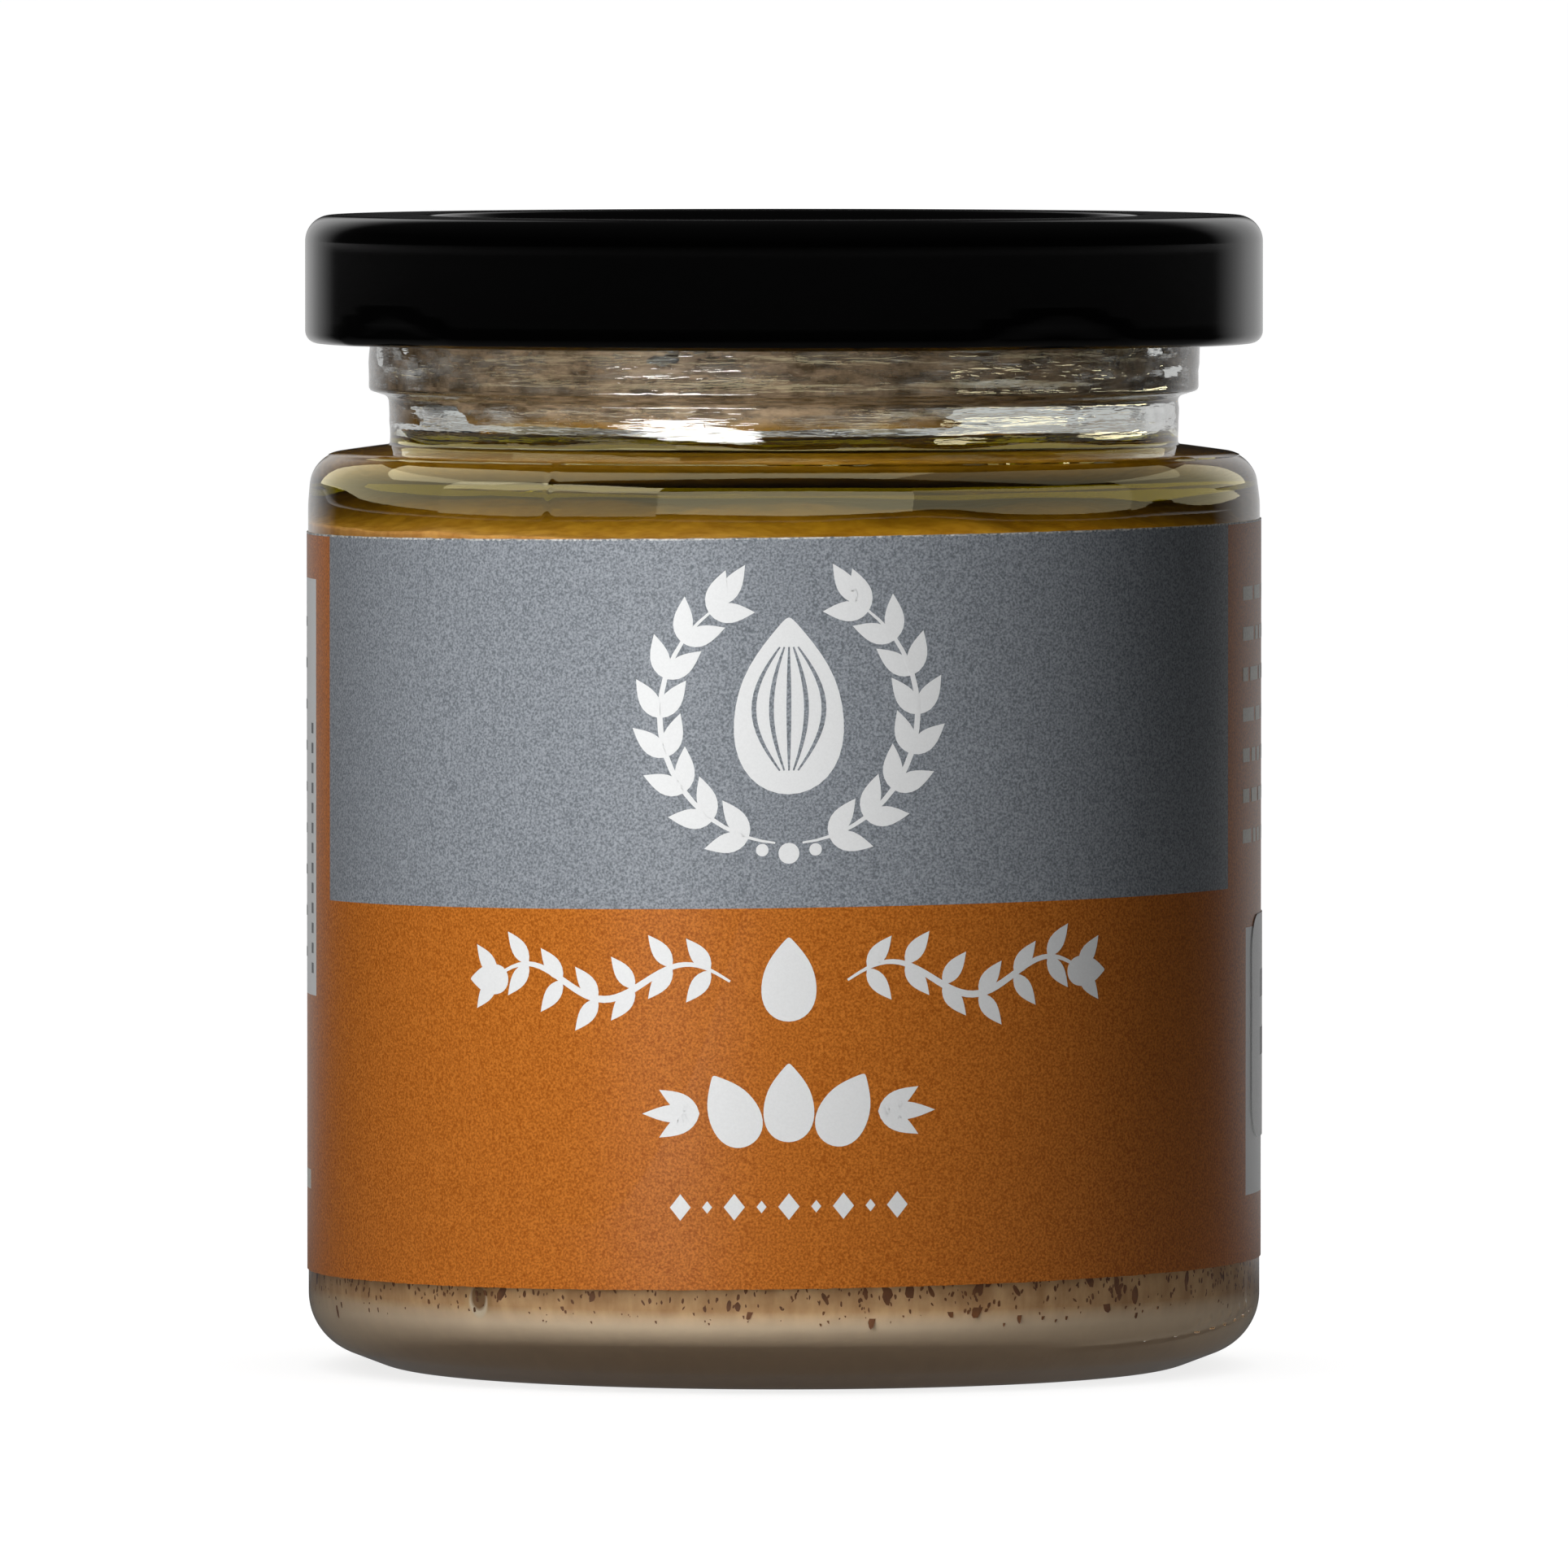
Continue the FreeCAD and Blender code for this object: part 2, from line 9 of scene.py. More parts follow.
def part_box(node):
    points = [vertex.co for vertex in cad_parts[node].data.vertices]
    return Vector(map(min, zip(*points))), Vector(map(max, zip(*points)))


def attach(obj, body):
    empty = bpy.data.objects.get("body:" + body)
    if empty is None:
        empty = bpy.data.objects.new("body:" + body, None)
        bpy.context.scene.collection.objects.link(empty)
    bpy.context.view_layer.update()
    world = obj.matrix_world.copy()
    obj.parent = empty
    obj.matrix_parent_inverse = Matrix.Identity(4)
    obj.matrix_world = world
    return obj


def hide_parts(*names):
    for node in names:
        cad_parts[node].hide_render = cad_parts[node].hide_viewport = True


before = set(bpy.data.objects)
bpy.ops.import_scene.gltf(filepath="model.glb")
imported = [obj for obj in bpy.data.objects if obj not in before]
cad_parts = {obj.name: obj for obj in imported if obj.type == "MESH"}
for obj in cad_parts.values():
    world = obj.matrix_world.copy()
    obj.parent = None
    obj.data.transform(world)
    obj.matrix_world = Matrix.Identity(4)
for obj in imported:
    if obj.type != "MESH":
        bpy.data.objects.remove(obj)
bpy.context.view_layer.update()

# A squat glass jar of almond butter, with a black twist-off lid and a wrap-round paper label.
# Shapes are worked out in millimetres, and every mesh is brought to metres as it is made.
# An azimuth is in degrees to the right of the front of the jar, which faces -Y.

MM = 0.001


def node_box(node):
    """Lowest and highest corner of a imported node, in millimetres."""
    low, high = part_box(node)
    return [v / MM for v in low], [v / MM for v in high]


# ---------------------------------------------------------------- sizes

glass_high = node_box("glass_jar")[1]
lid_low, lid_high = node_box("lid")
butter_low, butter_high = node_box("almond_butter")
label_high = node_box("label")[1]

BODY_R = glass_high[0]
RIM_Z = glass_high[2]
WALL = 2.5
INNER_R = BODY_R - WALL
BASE_TOP = butter_low[2]
INNER_HEEL = 2.5
SHOULDER_Z = 66.25
NECK_Z = 67.05
NECK_R = 28.7
FINISH_Z = 70.55
FINISH_R = 30.2
BORE_R = 26.4
THROAT_Z = 65.4
INNER_SHOULDER_Z = 63.7
SEAM_AT = -29.3  # azimuth of one parting line that the mould leaves; the other is opposite
BUTTER_Z = butter_high[2]
OIL_Z = node_box("oil_layer")[1][2]
OIL_FLAT = OIL_Z - 0.35  # the oil lies flat here, and climbs the glass by the rest
REACH = 0.06  # how far the butter reaches into the wall, so that no air shows between them
OVER = 0.09  # how far the oil does, so that it also wets the side of the butter
BUBBLE_AT = -41.5  # azimuth of a bubble in the butter, low against the glass
BUBBLE_Z = 6.4

LID_R = 34.8
LUGS = 4
LUG_AT = 35.0  # azimuth of the first lug

LABEL_R = label_high[0]
LABEL_BOTTOM = 7.6
LABEL_TOP = 61.2
LABEL_TILT = math.tan(math.radians(0.8))
LABEL_END = 159.7  # azimuth of both ends of the label, beside the bare strip at the back
PAPER = 0.09

# ---------------------------------------------------------------- shapes


def around(azimuth, radius, z):
    """A point on a cylinder about the jar's axis."""
    a = math.radians(azimuth)
    return (radius * math.sin(a), -radius * math.cos(a), z)


def share(value, start, full):
    """How far a value has come from a start to where it counts in full, from 0 to 1."""
    return min(1, max(0, (value - start) / (full - start)))


def rounded(corners, step=0.2):
    """An open outline through corners (radius, height, blend), each blend drawn as an arc."""
    out = []
    for i, (r, z, blend) in enumerate(corners):
        if blend == 0 or i in (0, len(corners) - 1):
            out.append((r, z))
            continue
        here = Vector((r, z))
        to_last = (Vector(corners[i - 1][:2]) - here).normalized()
        to_next = (Vector(corners[i + 1][:2]) - here).normalized()
        half = to_last.angle(to_next) / 2
        run = blend / math.tan(half)
        middle = here + (to_last + to_next).normalized() * (blend / math.sin(half))
        start = here + to_last * run - middle
        end = here + to_next * run - middle
        turned = start.angle_signed(end)
        count = max(4, round(abs(turned) * blend / step))
        for k in range(count + 1):
            a = -turned * k / count
            c, s = math.cos(a), math.sin(a)
            out.append((middle.x + start.x * c - start.y * s, middle.y + start.x * s + start.y * c))
    return out


def spaced(outline, step, fine=None):
    """The same outline with no run longer than a step, or than a finer step above the label."""
    out = [outline[0]]
    for a, b in zip(outline, outline[1:]):
        limit = fine if fine and min(a[1], b[1]) > LABEL_TOP - 1 else step
        count = max(1, math.ceil(math.dist(a, b) / limit))
        out += [tuple(a[i] + (b[i] - a[i]) * k / count for i in (0, 1)) for k in range(1, count + 1)]
    return out


def make_mesh(name, points, faces, crease=40.0):
    """A smooth mesh in metres from points in millimetres, creased where faces meet at a sharper angle."""
    mesh = bpy.data.meshes.new(name)
    mesh.from_pydata([(x * MM, y * MM, z * MM) for x, y, z in points], [], faces)
    work = bmesh.new()
    work.from_mesh(mesh)
    bmesh.ops.recalc_face_normals(work, faces=work.faces)
    for face in work.faces:
        face.smooth = True
    for edge in work.edges:
        if len(edge.link_faces) == 2 and edge.calc_face_angle(0) > math.radians(crease):
            edge.smooth = False
    work.to_mesh(mesh)
    work.free()
    return mesh


def every(step, low=-180.0, high=180.0):
    """Azimuths from low up to high, a step apart."""
    return [low + step * i for i in range(round((high - low) / step))]


def turn(outline, azimuths, shift=None):
    """Points and faces of an outline turned about the axis. shift(azimuth, radius, z) may move a point."""
    points, faces, rings = [], [], []
    steps = len(azimuths)
    for r, z in outline:
        ring = []
        for azimuth in azimuths if r > 1e-6 else azimuths[:1]:
            moved = shift(azimuth, r, z) if shift else (r, z)
            ring.append(len(points))
            points.append(around(azimuth, *moved))
        rings.append(ring)
    for low, high in zip(rings, rings[1:]):
        for i in range(steps):
            j = (i + 1) % steps
            corners = [low[i % len(low)], low[j % len(low)], high[j % len(high)], high[i % len(high)]]
            faces.append(tuple(dict.fromkeys(corners)))
    return points, faces


def flow(x, y, z, seed=0.0):
    """Smooth noise from -1 to 1."""
    return noise.noise(Vector((x, y, z + seed)))


def bell(distance, width):
    """A smooth hump: 1 in its middle, falling to nothing a few widths away."""
    return math.exp(-(distance / width) ** 2)


def place(name, points, faces, materials, slot, replaced=None, kinds=None):
    """Adds a piece that rides with the jar. kinds says which of its materials each face has."""
    mesh = make_mesh(name, points, faces)
    if kinds:
        mesh.polygons.foreach_set("material_index", kinds)
    piece = bpy.data.objects.new(name, mesh)
    bpy.context.scene.collection.objects.link(piece)
    for material in materials:
        mesh.materials.append(material)
    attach(piece, "root")
    if replaced:
        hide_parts(replaced)


# ---------------------------------------------------------------- materials


def linear(colour):
    """A colour written as sRGB hex, turned to linear."""
    out = []
    for i in (1, 3, 5):
        v = int(colour[i:i + 2], 16) / 255
        out.append(v / 12.92 if v <= 0.04045 else ((v + 0.055) / 1.055) ** 2.4)
    return (*out, 1.0)


WHITE = (1, 1, 1, 1)


def add(tree, kind, settings=None, links=None):
    """Adds a node, with settings by input or property name. A node is linked by its first live output."""
    node = tree.nodes.new("ShaderNode" + kind)
    for key, value in (settings or {}).items():
        if isinstance(key, int) or key in node.inputs:
            node.inputs[key].default_value = value
        else:
            setattr(node, key, value)
    for key, source in (links or {}).items():
        if isinstance(source, bpy.types.Node):
            source = next(output for output in source.outputs if output.enabled)
        tree.links.new(source, node.inputs[key])
    return node


def new_material(name):
    """A material, its empty node tree and its place in object space."""
    material = bpy.data.materials.new(name)
    material.use_nodes = True
    tree = material.node_tree
    tree.nodes.clear()
    return material, tree, add(tree, "TexCoord").outputs["Object"]


def finish_material(tree, surface, volume=None):
    links = {"Surface": surface}
    if volume:
        links["Volume"] = volume
    add(tree, "OutputMaterial", None, links)


def per_mm(size):
    """Texture scale, in object space in metres, at which one feature is this many millimetres."""
    return 1.0 / (size * MM)


def from_to(start, full, low=0.0, high=1.0):
    """Settings that turn a length, from a start to where it counts in full, both in mm, into a value."""
    return ramp(start * MM, full * MM, low, high)


def ramp(start, full, low=0.0, high=1.0):
    """Settings that turn a plain number, from a start to where it counts in full, into a value."""
    return {"From Min": start, "From Max": full, "To Min": low, "To Max": high}


def two_colours(dark, light):
    """Settings of a mix from one colour to another."""
    return {"data_type": "RGBA", 6: linear(dark), 7: linear(light)}


def by_ray(tree, shader, choices):
    """Shows another shader to each kind of ray named. Where a ray is of two kinds, the later one holds."""
    path = add(tree, "LightPath")
    for ray, seen in choices:
        shader = add(tree, "MixShader", None, {0: path.outputs[ray], 1: shader, 2: seen})
    return shader


def open_to_lamps(tree, shader, tint):
    """Lets light from the lamps, and light scattered by what is inside, pass straight through."""
    clear = add(tree, "BsdfTransparent", {"Color": linear(tint)})
    return by_ray(tree, shader, (("Is Shadow Ray", clear), ("Is Diffuse Ray", clear)))


def flint_glass(name, ior):
    """Soda-lime flint glass, blown in a mould: clear, slowly rippled, with fine lines round the neck."""
    material, tree, where = new_material(name)
    ripple = add(tree, "TexNoise", {"Scale": per_mm(4.0), "Detail": 2.0}, {"Vector": where})
    around_neck = add(tree, "VectorMath", {"operation": "MULTIPLY", 1: (0.10, 0.10, 1)}, {0: where})
    lines = add(tree, "TexNoise", {"Scale": per_mm(0.7), "Detail": 3.0, "Roughness": 0.6},
                {"Vector": around_neck})
    split = add(tree, "SeparateXYZ", None, {0: where})
    neck = add(tree, "MapRange", from_to(NECK_Z + 0.2, NECK_Z + 1.4, 0.02), {"Value": split.outputs["Z"]})
    drawn = add(tree, "Math", {"operation": "MULTIPLY"}, {0: lines, 1: neck})
    height = add(tree, "Math", {"operation": "MULTIPLY_ADD", 1: 0.12}, {0: ripple, 2: drawn})
    bump = add(tree, "Bump", {"Strength": 1.0, "Distance": 0.05 * MM}, {"Height": height})
    glass = add(tree, "BsdfPrincipled", {
        "Base Color": linear("#fafcfa"), "Roughness": 0.0, "IOR": ior, "Transmission Weight": 1.0,
    }, {"Normal": bump})
    finish_material(tree, open_to_lamps(tree, glass, "#fbfcfb"))
    return material


def almond_oil():
    """Almond oil that has risen out of the butter: clear gold that turns deep olive brown with depth."""
    material, tree, where = new_material("almond_oil")
    flat = add(tree, "VectorMath", {"operation": "MULTIPLY", 1: (1, 1, 0)}, {0: where})
    out = add(tree, "VectorMath", {"operation": "LENGTH"}, {0: flat})
    # Against the wall the glass bends the light, and only the free top of the oil meets air.
    bend = add(tree, "MapRange", from_to(BORE_R + 0.01, BORE_R + 0.03, 1.47, 1.0), {"Value": out})
    oil = add(tree, "BsdfPrincipled", {
        "Base Color": linear("#fffdf6"), "Roughness": 0.0, "Transmission Weight": 1.0,
    }, {"IOR": bend})
    depth = add(tree, "VolumeAbsorption", {"Color": linear("#ebe73a"), "Density": 200.0})
    finish_material(tree, open_to_lamps(tree, oil, "#e6d5a4"), depth)
    return material


def almond_butter():
    """Coarsely ground roasted almonds: a dull tan paste with paler nut meal, drawn out where it slid up the
    glass, soaked dark where oil stands on it, with painted light at its foot where it curves away from the
    lamps, and one bubble against the glass, painted with a pale rim of light over a shaded hollow."""
    material, tree, where = new_material("almond_butter")
    meal = add(tree, "TexNoise", {"Scale": per_mm(3.5), "Detail": 5.0, "Roughness": 0.6}, {"Vector": where})
    upright = add(tree, "VectorMath", {"operation": "MULTIPLY", 1: (1, 1, 0.35)}, {0: where})
    drag = add(tree, "TexNoise", {"Scale": per_mm(1.1), "Detail": 3.0}, {"Vector": upright})
    both = add(tree, "Math", {"operation": "ADD"}, {0: meal, 1: drag})
    patchy = add(tree, "MapRange", ramp(0.78, 1.22), {"Value": both})
    paste = add(tree, "Mix", two_colours("#b0855a", "#d2a97b"), {0: patchy})
    split = add(tree, "SeparateXYZ", None, {0: where})
    high = add(tree, "MapRange", from_to(BUTTER_Z - 0.3, BUTTER_Z + 0.9, 0.0, 0.65),
               {"Value": split.outputs["Z"]})
    soaked = add(tree, "Mix", {"data_type": "RGBA", 7: linear("#70593a")}, {0: high, 6: paste})
    # Painted light: paler towards the foot, where the butter curves away from the lamps and would render
    # dark.
    low = add(tree, "MapRange", from_to(BASE_TOP + 1.9, BASE_TOP + 0.8, 0.0, 0.8),
              {"Value": split.outputs["Z"]})
    pale = add(tree, "Mix", {"data_type": "RGBA", 7: linear("#ead5b8")}, {0: low, 6: soaked})
    # The bubble is painted into the colour: a pale crescent of painted light low in it, and painted shade
    # in its hollow.
    middle = Vector(around(BUBBLE_AT, INNER_R, BUBBLE_Z)) * MM
    squat = (1, 1, 0.7)
    level = add(tree, "VectorMath", {"operation": "MULTIPLY", 1: squat}, {0: where})
    off = add(tree, "VectorMath", {"operation": "DISTANCE", 1: middle * Vector(squat)}, {0: level})
    sagged = (middle - Vector((0, 0, 0.35 * MM))) * Vector(squat)
    below = add(tree, "VectorMath", {"operation": "DISTANCE", 1: sagged}, {0: level})
    rim = add(tree, "MapRange", from_to(0.92, 0.74), {"Value": below})
    with_painted_rim = add(tree, "Mix", {"data_type": "RGBA", 7: linear("#d9c6ac")}, {0: rim, 6: pale})
    painted_hollow_shade = add(tree, "MapRange", from_to(0.78, 0.60), {"Value": off})
    colour = add(tree, "Mix", {"data_type": "RGBA", 7: linear("#8a6848")}, {0: painted_hollow_shade, 6: with_painted_rim})
    bump = add(tree, "Bump", {"Strength": 0.5, "Distance": 0.15 * MM}, {"Height": meal})
    butter = add(tree, "BsdfPrincipled", {"Roughness": 0.55, "IOR": 1.47, "Specular IOR Level": 0.1},
                 {"Base Color": colour, "Normal": bump})
    finish_material(tree, butter)
    return material


def butter_smear():
    """The same butter spread thin on glass: greasy, streaked sideways, golden where oil keeps it wet."""
    material, tree, where = new_material("butter_smear")
    drawn = add(tree, "VectorMath", {"operation": "MULTIPLY", 1: (0.4, 0.4, 1)}, {0: where})
    meal = add(tree, "TexNoise", {"Scale": per_mm(1.3), "Detail": 5.0, "Roughness": 0.7}, {"Vector": drawn})
    patchy = add(tree, "MapRange", ramp(0.38, 0.62), {"Value": meal})
    dry = add(tree, "Mix", two_colours("#59452b", "#bfa383"), {0: patchy})
    split = add(tree, "SeparateXYZ", None, {0: where})
    wet = add(tree, "MapRange", from_to(OIL_Z + 1.4, OIL_Z + 0.5), {"Value": split.outputs["Z"]})
    colour = add(tree, "Mix", {"data_type": "RGBA", 7: linear("#8a6312")}, {0: wet, 6: dry})
    flat = add(tree, "VectorMath", {"operation": "MULTIPLY", 1: (0.22, 0.22, 1)}, {0: where})
    streaks = add(tree, "TexNoise", {"Scale": per_mm(0.9), "Detail": 4.0, "Roughness": 0.6},
                  {"Vector": flat})
    cover = add(tree, "MapRange", ramp(0.36, 0.60, 0.30, 0.85), {"Value": streaks})
    bump = add(tree, "Bump", {"Strength": 1.0, "Distance": 0.15 * MM}, {"Height": streaks})
    smear = add(tree, "BsdfPrincipled", {"Roughness": 0.35, "IOR": 1.47},
                {"Base Color": colour, "Alpha": cover, "Normal": bump})
    finish_material(tree, smear)
    return material


def almond_skin():
    """Roasted almond skin, broken in the mill: dull reddish brown, darker where it folds."""
    material, tree, where = new_material("almond_skin")
    fold = add(tree, "TexNoise", {"Scale": per_mm(0.8), "Detail": 2.0}, {"Vector": where})
    colour = add(tree, "Mix", two_colours("#4a2810", "#83502a"), {0: fold})
    finish_material(tree, add(tree, "BsdfPrincipled", {"Roughness": 0.6}, {"Base Color": colour}))
    return material


def printed_paper(name, dark, light, grain=0.17, tooth=0.35):
    """Coated label paper, screen printed: fine mottled grain in the ink, and a satin sheen at the edges."""
    material, tree, where = new_material(name)
    mottle = add(tree, "TexNoise", {"Scale": per_mm(grain), "Detail": 2.0, "Roughness": 0.6},
                 {"Vector": where})
    spread = add(tree, "MapRange", ramp(0.36, 0.64), {"Value": mottle})
    colour = add(tree, "Mix", two_colours(dark, light), {0: spread})
    bump = add(tree, "Bump", {"Strength": tooth, "Distance": 0.02 * MM}, {"Height": mottle})
    paper = add(tree, "BsdfPrincipled", {"Roughness": 0.36, "IOR": 1.45, "Specular IOR Level": 0.42},
                {"Base Color": colour, "Normal": bump})
    finish_material(tree, paper)
    return material


def black_lacquer():
    """Gloss black stoving lacquer on tinplate: near black face on, pale only where it is seen edge on."""
    material, tree, where = new_material("black_lacquer")
    peel = add(tree, "TexNoise", {"Scale": per_mm(2.2), "Detail": 2.0}, {"Vector": where})
    colour = add(tree, "Mix", two_colours("#020203", "#040406"), {0: peel})
    bump = add(tree, "Bump", {"Strength": 0.08, "Distance": 0.02 * MM}, {"Height": peel})
    lacquer = add(tree, "BsdfPrincipled", {"Roughness": 0.12, "IOR": 1.4},
                  {"Base Color": colour, "Normal": bump})
    finish_material(tree, lacquer)
    return material


def sealing_compound():
    """Soft plastisol flowed into the lid: matt off-white, slightly uneven."""
    material, tree, where = new_material("sealing_compound")
    cloud = add(tree, "TexNoise", {"Scale": per_mm(1.5), "Detail": 2.0}, {"Vector": where})
    colour = add(tree, "Mix", two_colours("#c8c6bd", "#dcdad2"), {0: cloud})
    finish_material(tree, add(tree, "BsdfPrincipled", {"Roughness": 0.7}, {"Base Color": colour}))
    return material


FLINT_GLASS = flint_glass("flint_glass", 1.52)
WETTED_GLASS = flint_glass("wetted_glass", 1.034)  # glass against oil or butter: one index over the other
ALMOND_OIL = almond_oil()
ALMOND_BUTTER = almond_butter()
BUTTER_SMEAR = butter_smear()
ALMOND_SKIN = almond_skin()
GREY_PRINT = printed_paper("grey_print", "#6f757b", "#a6abb2")
ORANGE_PRINT = printed_paper("orange_print", "#a55612", "#d68030")
WHITE_PRINT = printed_paper("white_print", "#f3f4f4", "#f7f8f8", tooth=0.04)
CUT_EDGE = printed_paper("cut_edge", "#6f757b", "#e2e1dd", grain=0.30)
PAPER_EDGE = printed_paper("paper_edge", "#cfc9bd", "#e6e1d6")
STICKER_PAPER = printed_paper("sticker_paper", "#e8e9e9", "#f4f5f5")
INK = printed_paper("dark_ink", "#3a3d42", "#4c5056")
BLACK_LACQUER = black_lacquer()
SEALING_COMPOUND = sealing_compound()

# ---------------------------------------------------------------- the glass


def wander(azimuth, z):
    """How far the inner wall of blown glass wanders, in mm: little in the body, more in the shoulder."""
    x, y, _ = around(azimuth, 1, 0)
    slow = flow(x * 1.6, y * 1.6, z * 0.05, 3.0)
    quick = flow(x * 3.5, y * 3.5, z * 0.30, 9.0)
    streak = flow(x * 2.2, y * 2.2, z * 1.1, 15.0) * share(z, 66.0, 68.0)
    return slow * 0.18 + quick * (0.03 + 0.22 * bell(z - 65.0, 3.5)) + streak * 0.10


def below_rim(z):
    """How much of the inner wall's wandering shows at a height in the neck: none of it at the rim."""
    return share(z, RIM_Z - 1, RIM_Z - 3)


FOLD_START, FOLD_END = 33, 80  # azimuths of a fold that the mould left at the right of the heel


def heel_fold(azimuth, z):
    """Change of radius at the fold in the heel, with small knobs over it."""
    above = z - 2.9 - 1.6 * ((azimuth - FOLD_START) / (FOLD_END - FOLD_START)) ** 2
    sunk = 0.12 * bell(above, 0.14) * min(1, (azimuth - FOLD_START) / 12)
    knobs = max(0.0, math.cos(math.radians((azimuth - 60) * 120))) ** 4 if 59 < azimuth < 76 else 0
    return 0.17 * knobs * bell(above - 0.75, 0.22) - sunk


def make_jar():
    """The glass: from the middle of the foot up its outer wall, over the rim and down inside it."""
    outer = spaced(rounded([
        (0, 1.5, 0),  # the push-up under the base
        (25.0, 1.0, 0.8),
        (27.2, 0, 0.8),  # the ring that it stands on
        (28.6, 0, 5.0),
        (BODY_R, 2.3, 4.5),
        (BODY_R, LABEL_TOP, 0),
        (BODY_R, SHOULDER_Z, 2.6),
        (NECK_R, NECK_Z, 0.25),
        (NECK_R, FINISH_Z, 0.5),
        (FINISH_R, FINISH_Z + 0.45, 0.4),
        (FINISH_R, RIM_Z, 0.6),
        (BORE_R + 1.6, RIM_Z, 0),
    ]), 3.0, 0.55)
    inner = spaced(rounded([
        (BORE_R + 0.6, RIM_Z, 0),
        (BORE_R, RIM_Z, 0.6),
        (BORE_R, THROAT_Z, 3.0),
        (INNER_R, INNER_SHOULDER_Z, 1.5),
        (INNER_R, BASE_TOP, INNER_HEEL),
        (0, BASE_TOP, 0),
    ]), 3.0, 0.8)
    outline = outer + inner
    fine = every(0.25, SEAM_AT - 2, SEAM_AT + 2) + every(0.5, 57, 79)  # at the parting line and the knobs
    azimuths = sorted({round(a, 3) for a in every(1.25) + fine})

    def shift(azimuth, r, z):
        in_neck = r < BORE_R + 0.01 and z > THROAT_Z
        in_body = 1 < r < INNER_R + 0.01 and z > BASE_TOP - 0.01
        if in_neck or in_body:
            return r + wander(azimuth, z) * below_rim(z) * min(1, (r / 20) ** 2), z
        a = math.radians(azimuth)
        x, y = math.sin(a), math.cos(a)
        peel = flow(x * 2.4, y * 2.4, z * 0.9, 30.0) * 0.030
        peel += flow(x * 6, y * 6, z * 1.5, 33.0) * (0.020 if z > NECK_Z else 0.008)
        uneven = 1 + 0.9 * flow(x * 2.6, y * 2.6, 0, 51.0)
        if z < SHOULDER_Z:  # a shallow dent under the shoulder
            dent_z = 62.0 + 0.5 * flow(x * 1.8, y * 1.8, 0, 44.0)
            peel -= 0.13 * uneven * share(z, dent_z, dent_z + 1.65) ** 2
        elif NECK_Z < z < FINISH_Z:  # a flare at the top of the neck
            peel += 0.10 * uneven * share(z, 68.9, 70.2) ** 2
        elif z > FINISH_Z:  # two faint beads on the finish
            peel += 0.06 * uneven * (bell(z - 73.2, 0.45) + bell(z - 74.6, 0.45))
        shows = share(z, LABEL_TOP + 1, LABEL_TOP + 3)  # the wall is even under the label
        if FOLD_START < azimuth < FOLD_END and z < 6:
            peel += heel_fold(azimuth, z)
            shows = 1
        if SHOULDER_Z < z < NECK_Z + 0.1:
            return r, z + peel * shows
        seam = min(abs(azimuth - SEAM_AT), abs(azimuth - SEAM_AT - 180))
        return min(LABEL_R, r + (peel + 0.09 * bell(seam, 0.5)) * shows), z

    points, faces = turn(outline, azimuths, shift)
    kinds = []
    for ring, ((_, z), (_, z_next)) in enumerate(zip(outline, outline[1:])):
        wet = ring >= len(outer) and max(z, z_next) < OIL_Z - 0.1
        kinds += [int(wet)] * len(azimuths)
    place("jar_glass", points, faces, [FLINT_GLASS, WETTED_GLASS], "flint_glass", "glass_jar", kinds)


make_jar()

# ---------------------------------------------------------------- contents


def butter_top(azimuth, r):
    """Height of the butter under the oil: a low mound from the filler, slightly higher at the left."""
    x, y, _ = around(azimuth, r, 0)
    inward = INNER_R - r
    mound = 1.9 * (1 - bell(inward, 6.5)) - 0.9 * bell(r, 9)
    lumps = flow(x * 0.13, y * 0.13, 0, 5.0) * 0.5 + flow(x * 0.45, y * 0.45, 0, 2.0) * 0.22
    return BUTTER_Z - 0.75 + mound - 0.016 * x + lumps * min(1, 0.35 + inward / 8)


def make_butter():
    """The butter, from wall to wall, with a dent where its bubble lies."""
    outline = spaced(rounded([
        (0, BASE_TOP - REACH, 0),
        (INNER_R + REACH, BASE_TOP - REACH, INNER_HEEL),
        (INNER_R + REACH, BUTTER_Z, 0.25),
        (0, BUTTER_Z, 0),
    ]), 0.8)

    def shift(azimuth, r, z):
        if z > BUTTER_Z - 0.3:
            at_wall = wander(azimuth, z) if r > INNER_R - 0.3 else 0
            return r + at_wall, z + (butter_top(azimuth, r) - BUTTER_Z)
        dent = 0.0
        if r > INNER_R - 6:
            side = math.radians(azimuth - BUBBLE_AT) * INNER_R
            dent = 0.45 * bell(side, 0.9) * bell(z - BUBBLE_Z, 1.2)
        return r + wander(azimuth, z) * (min(1, (r / 20) ** 2) if r > 1 else 0) - dent, z

    place("butter", *turn(outline, every(1.0), shift), [ALMOND_BUTTER], "almond_butter", "almond_butter")


def make_oil():
    """The oil, down into the side of the butter and up to where it climbs the glass."""
    bottom = BUTTER_Z - 2.2
    side = spaced(rounded([
        (INNER_R + OVER, bottom, 0),
        (INNER_R + OVER, INNER_SHOULDER_Z + OVER, 1.5),
        (BORE_R + OVER, THROAT_Z + OVER, 3.0),
        (BORE_R + OVER, OIL_Z, 0),
    ]), 0.5)
    climb = [(BORE_R + OVER - inward, OIL_FLAT + (OIL_Z - OIL_FLAT) * math.exp(-inward / 0.55))
             for inward in (0.08, 0.2, 0.4, 0.65, 1.0, 1.5, 2.2, 3.2)]
    outline = [(0, bottom)] + side + climb + [(0, OIL_FLAT)]

    def shift(azimuth, r, z):
        on_wall = r > INNER_R or r > BORE_R - 0.2 and z > OIL_FLAT
        moves = on_wall or BUTTER_Z - 2 < z < OIL_FLAT
        return (r + wander(azimuth, z) if moves else r), z

    place("oil", *turn(outline, every(1.25), shift), [ALMOND_OIL], "almond_oil", "oil_layer")


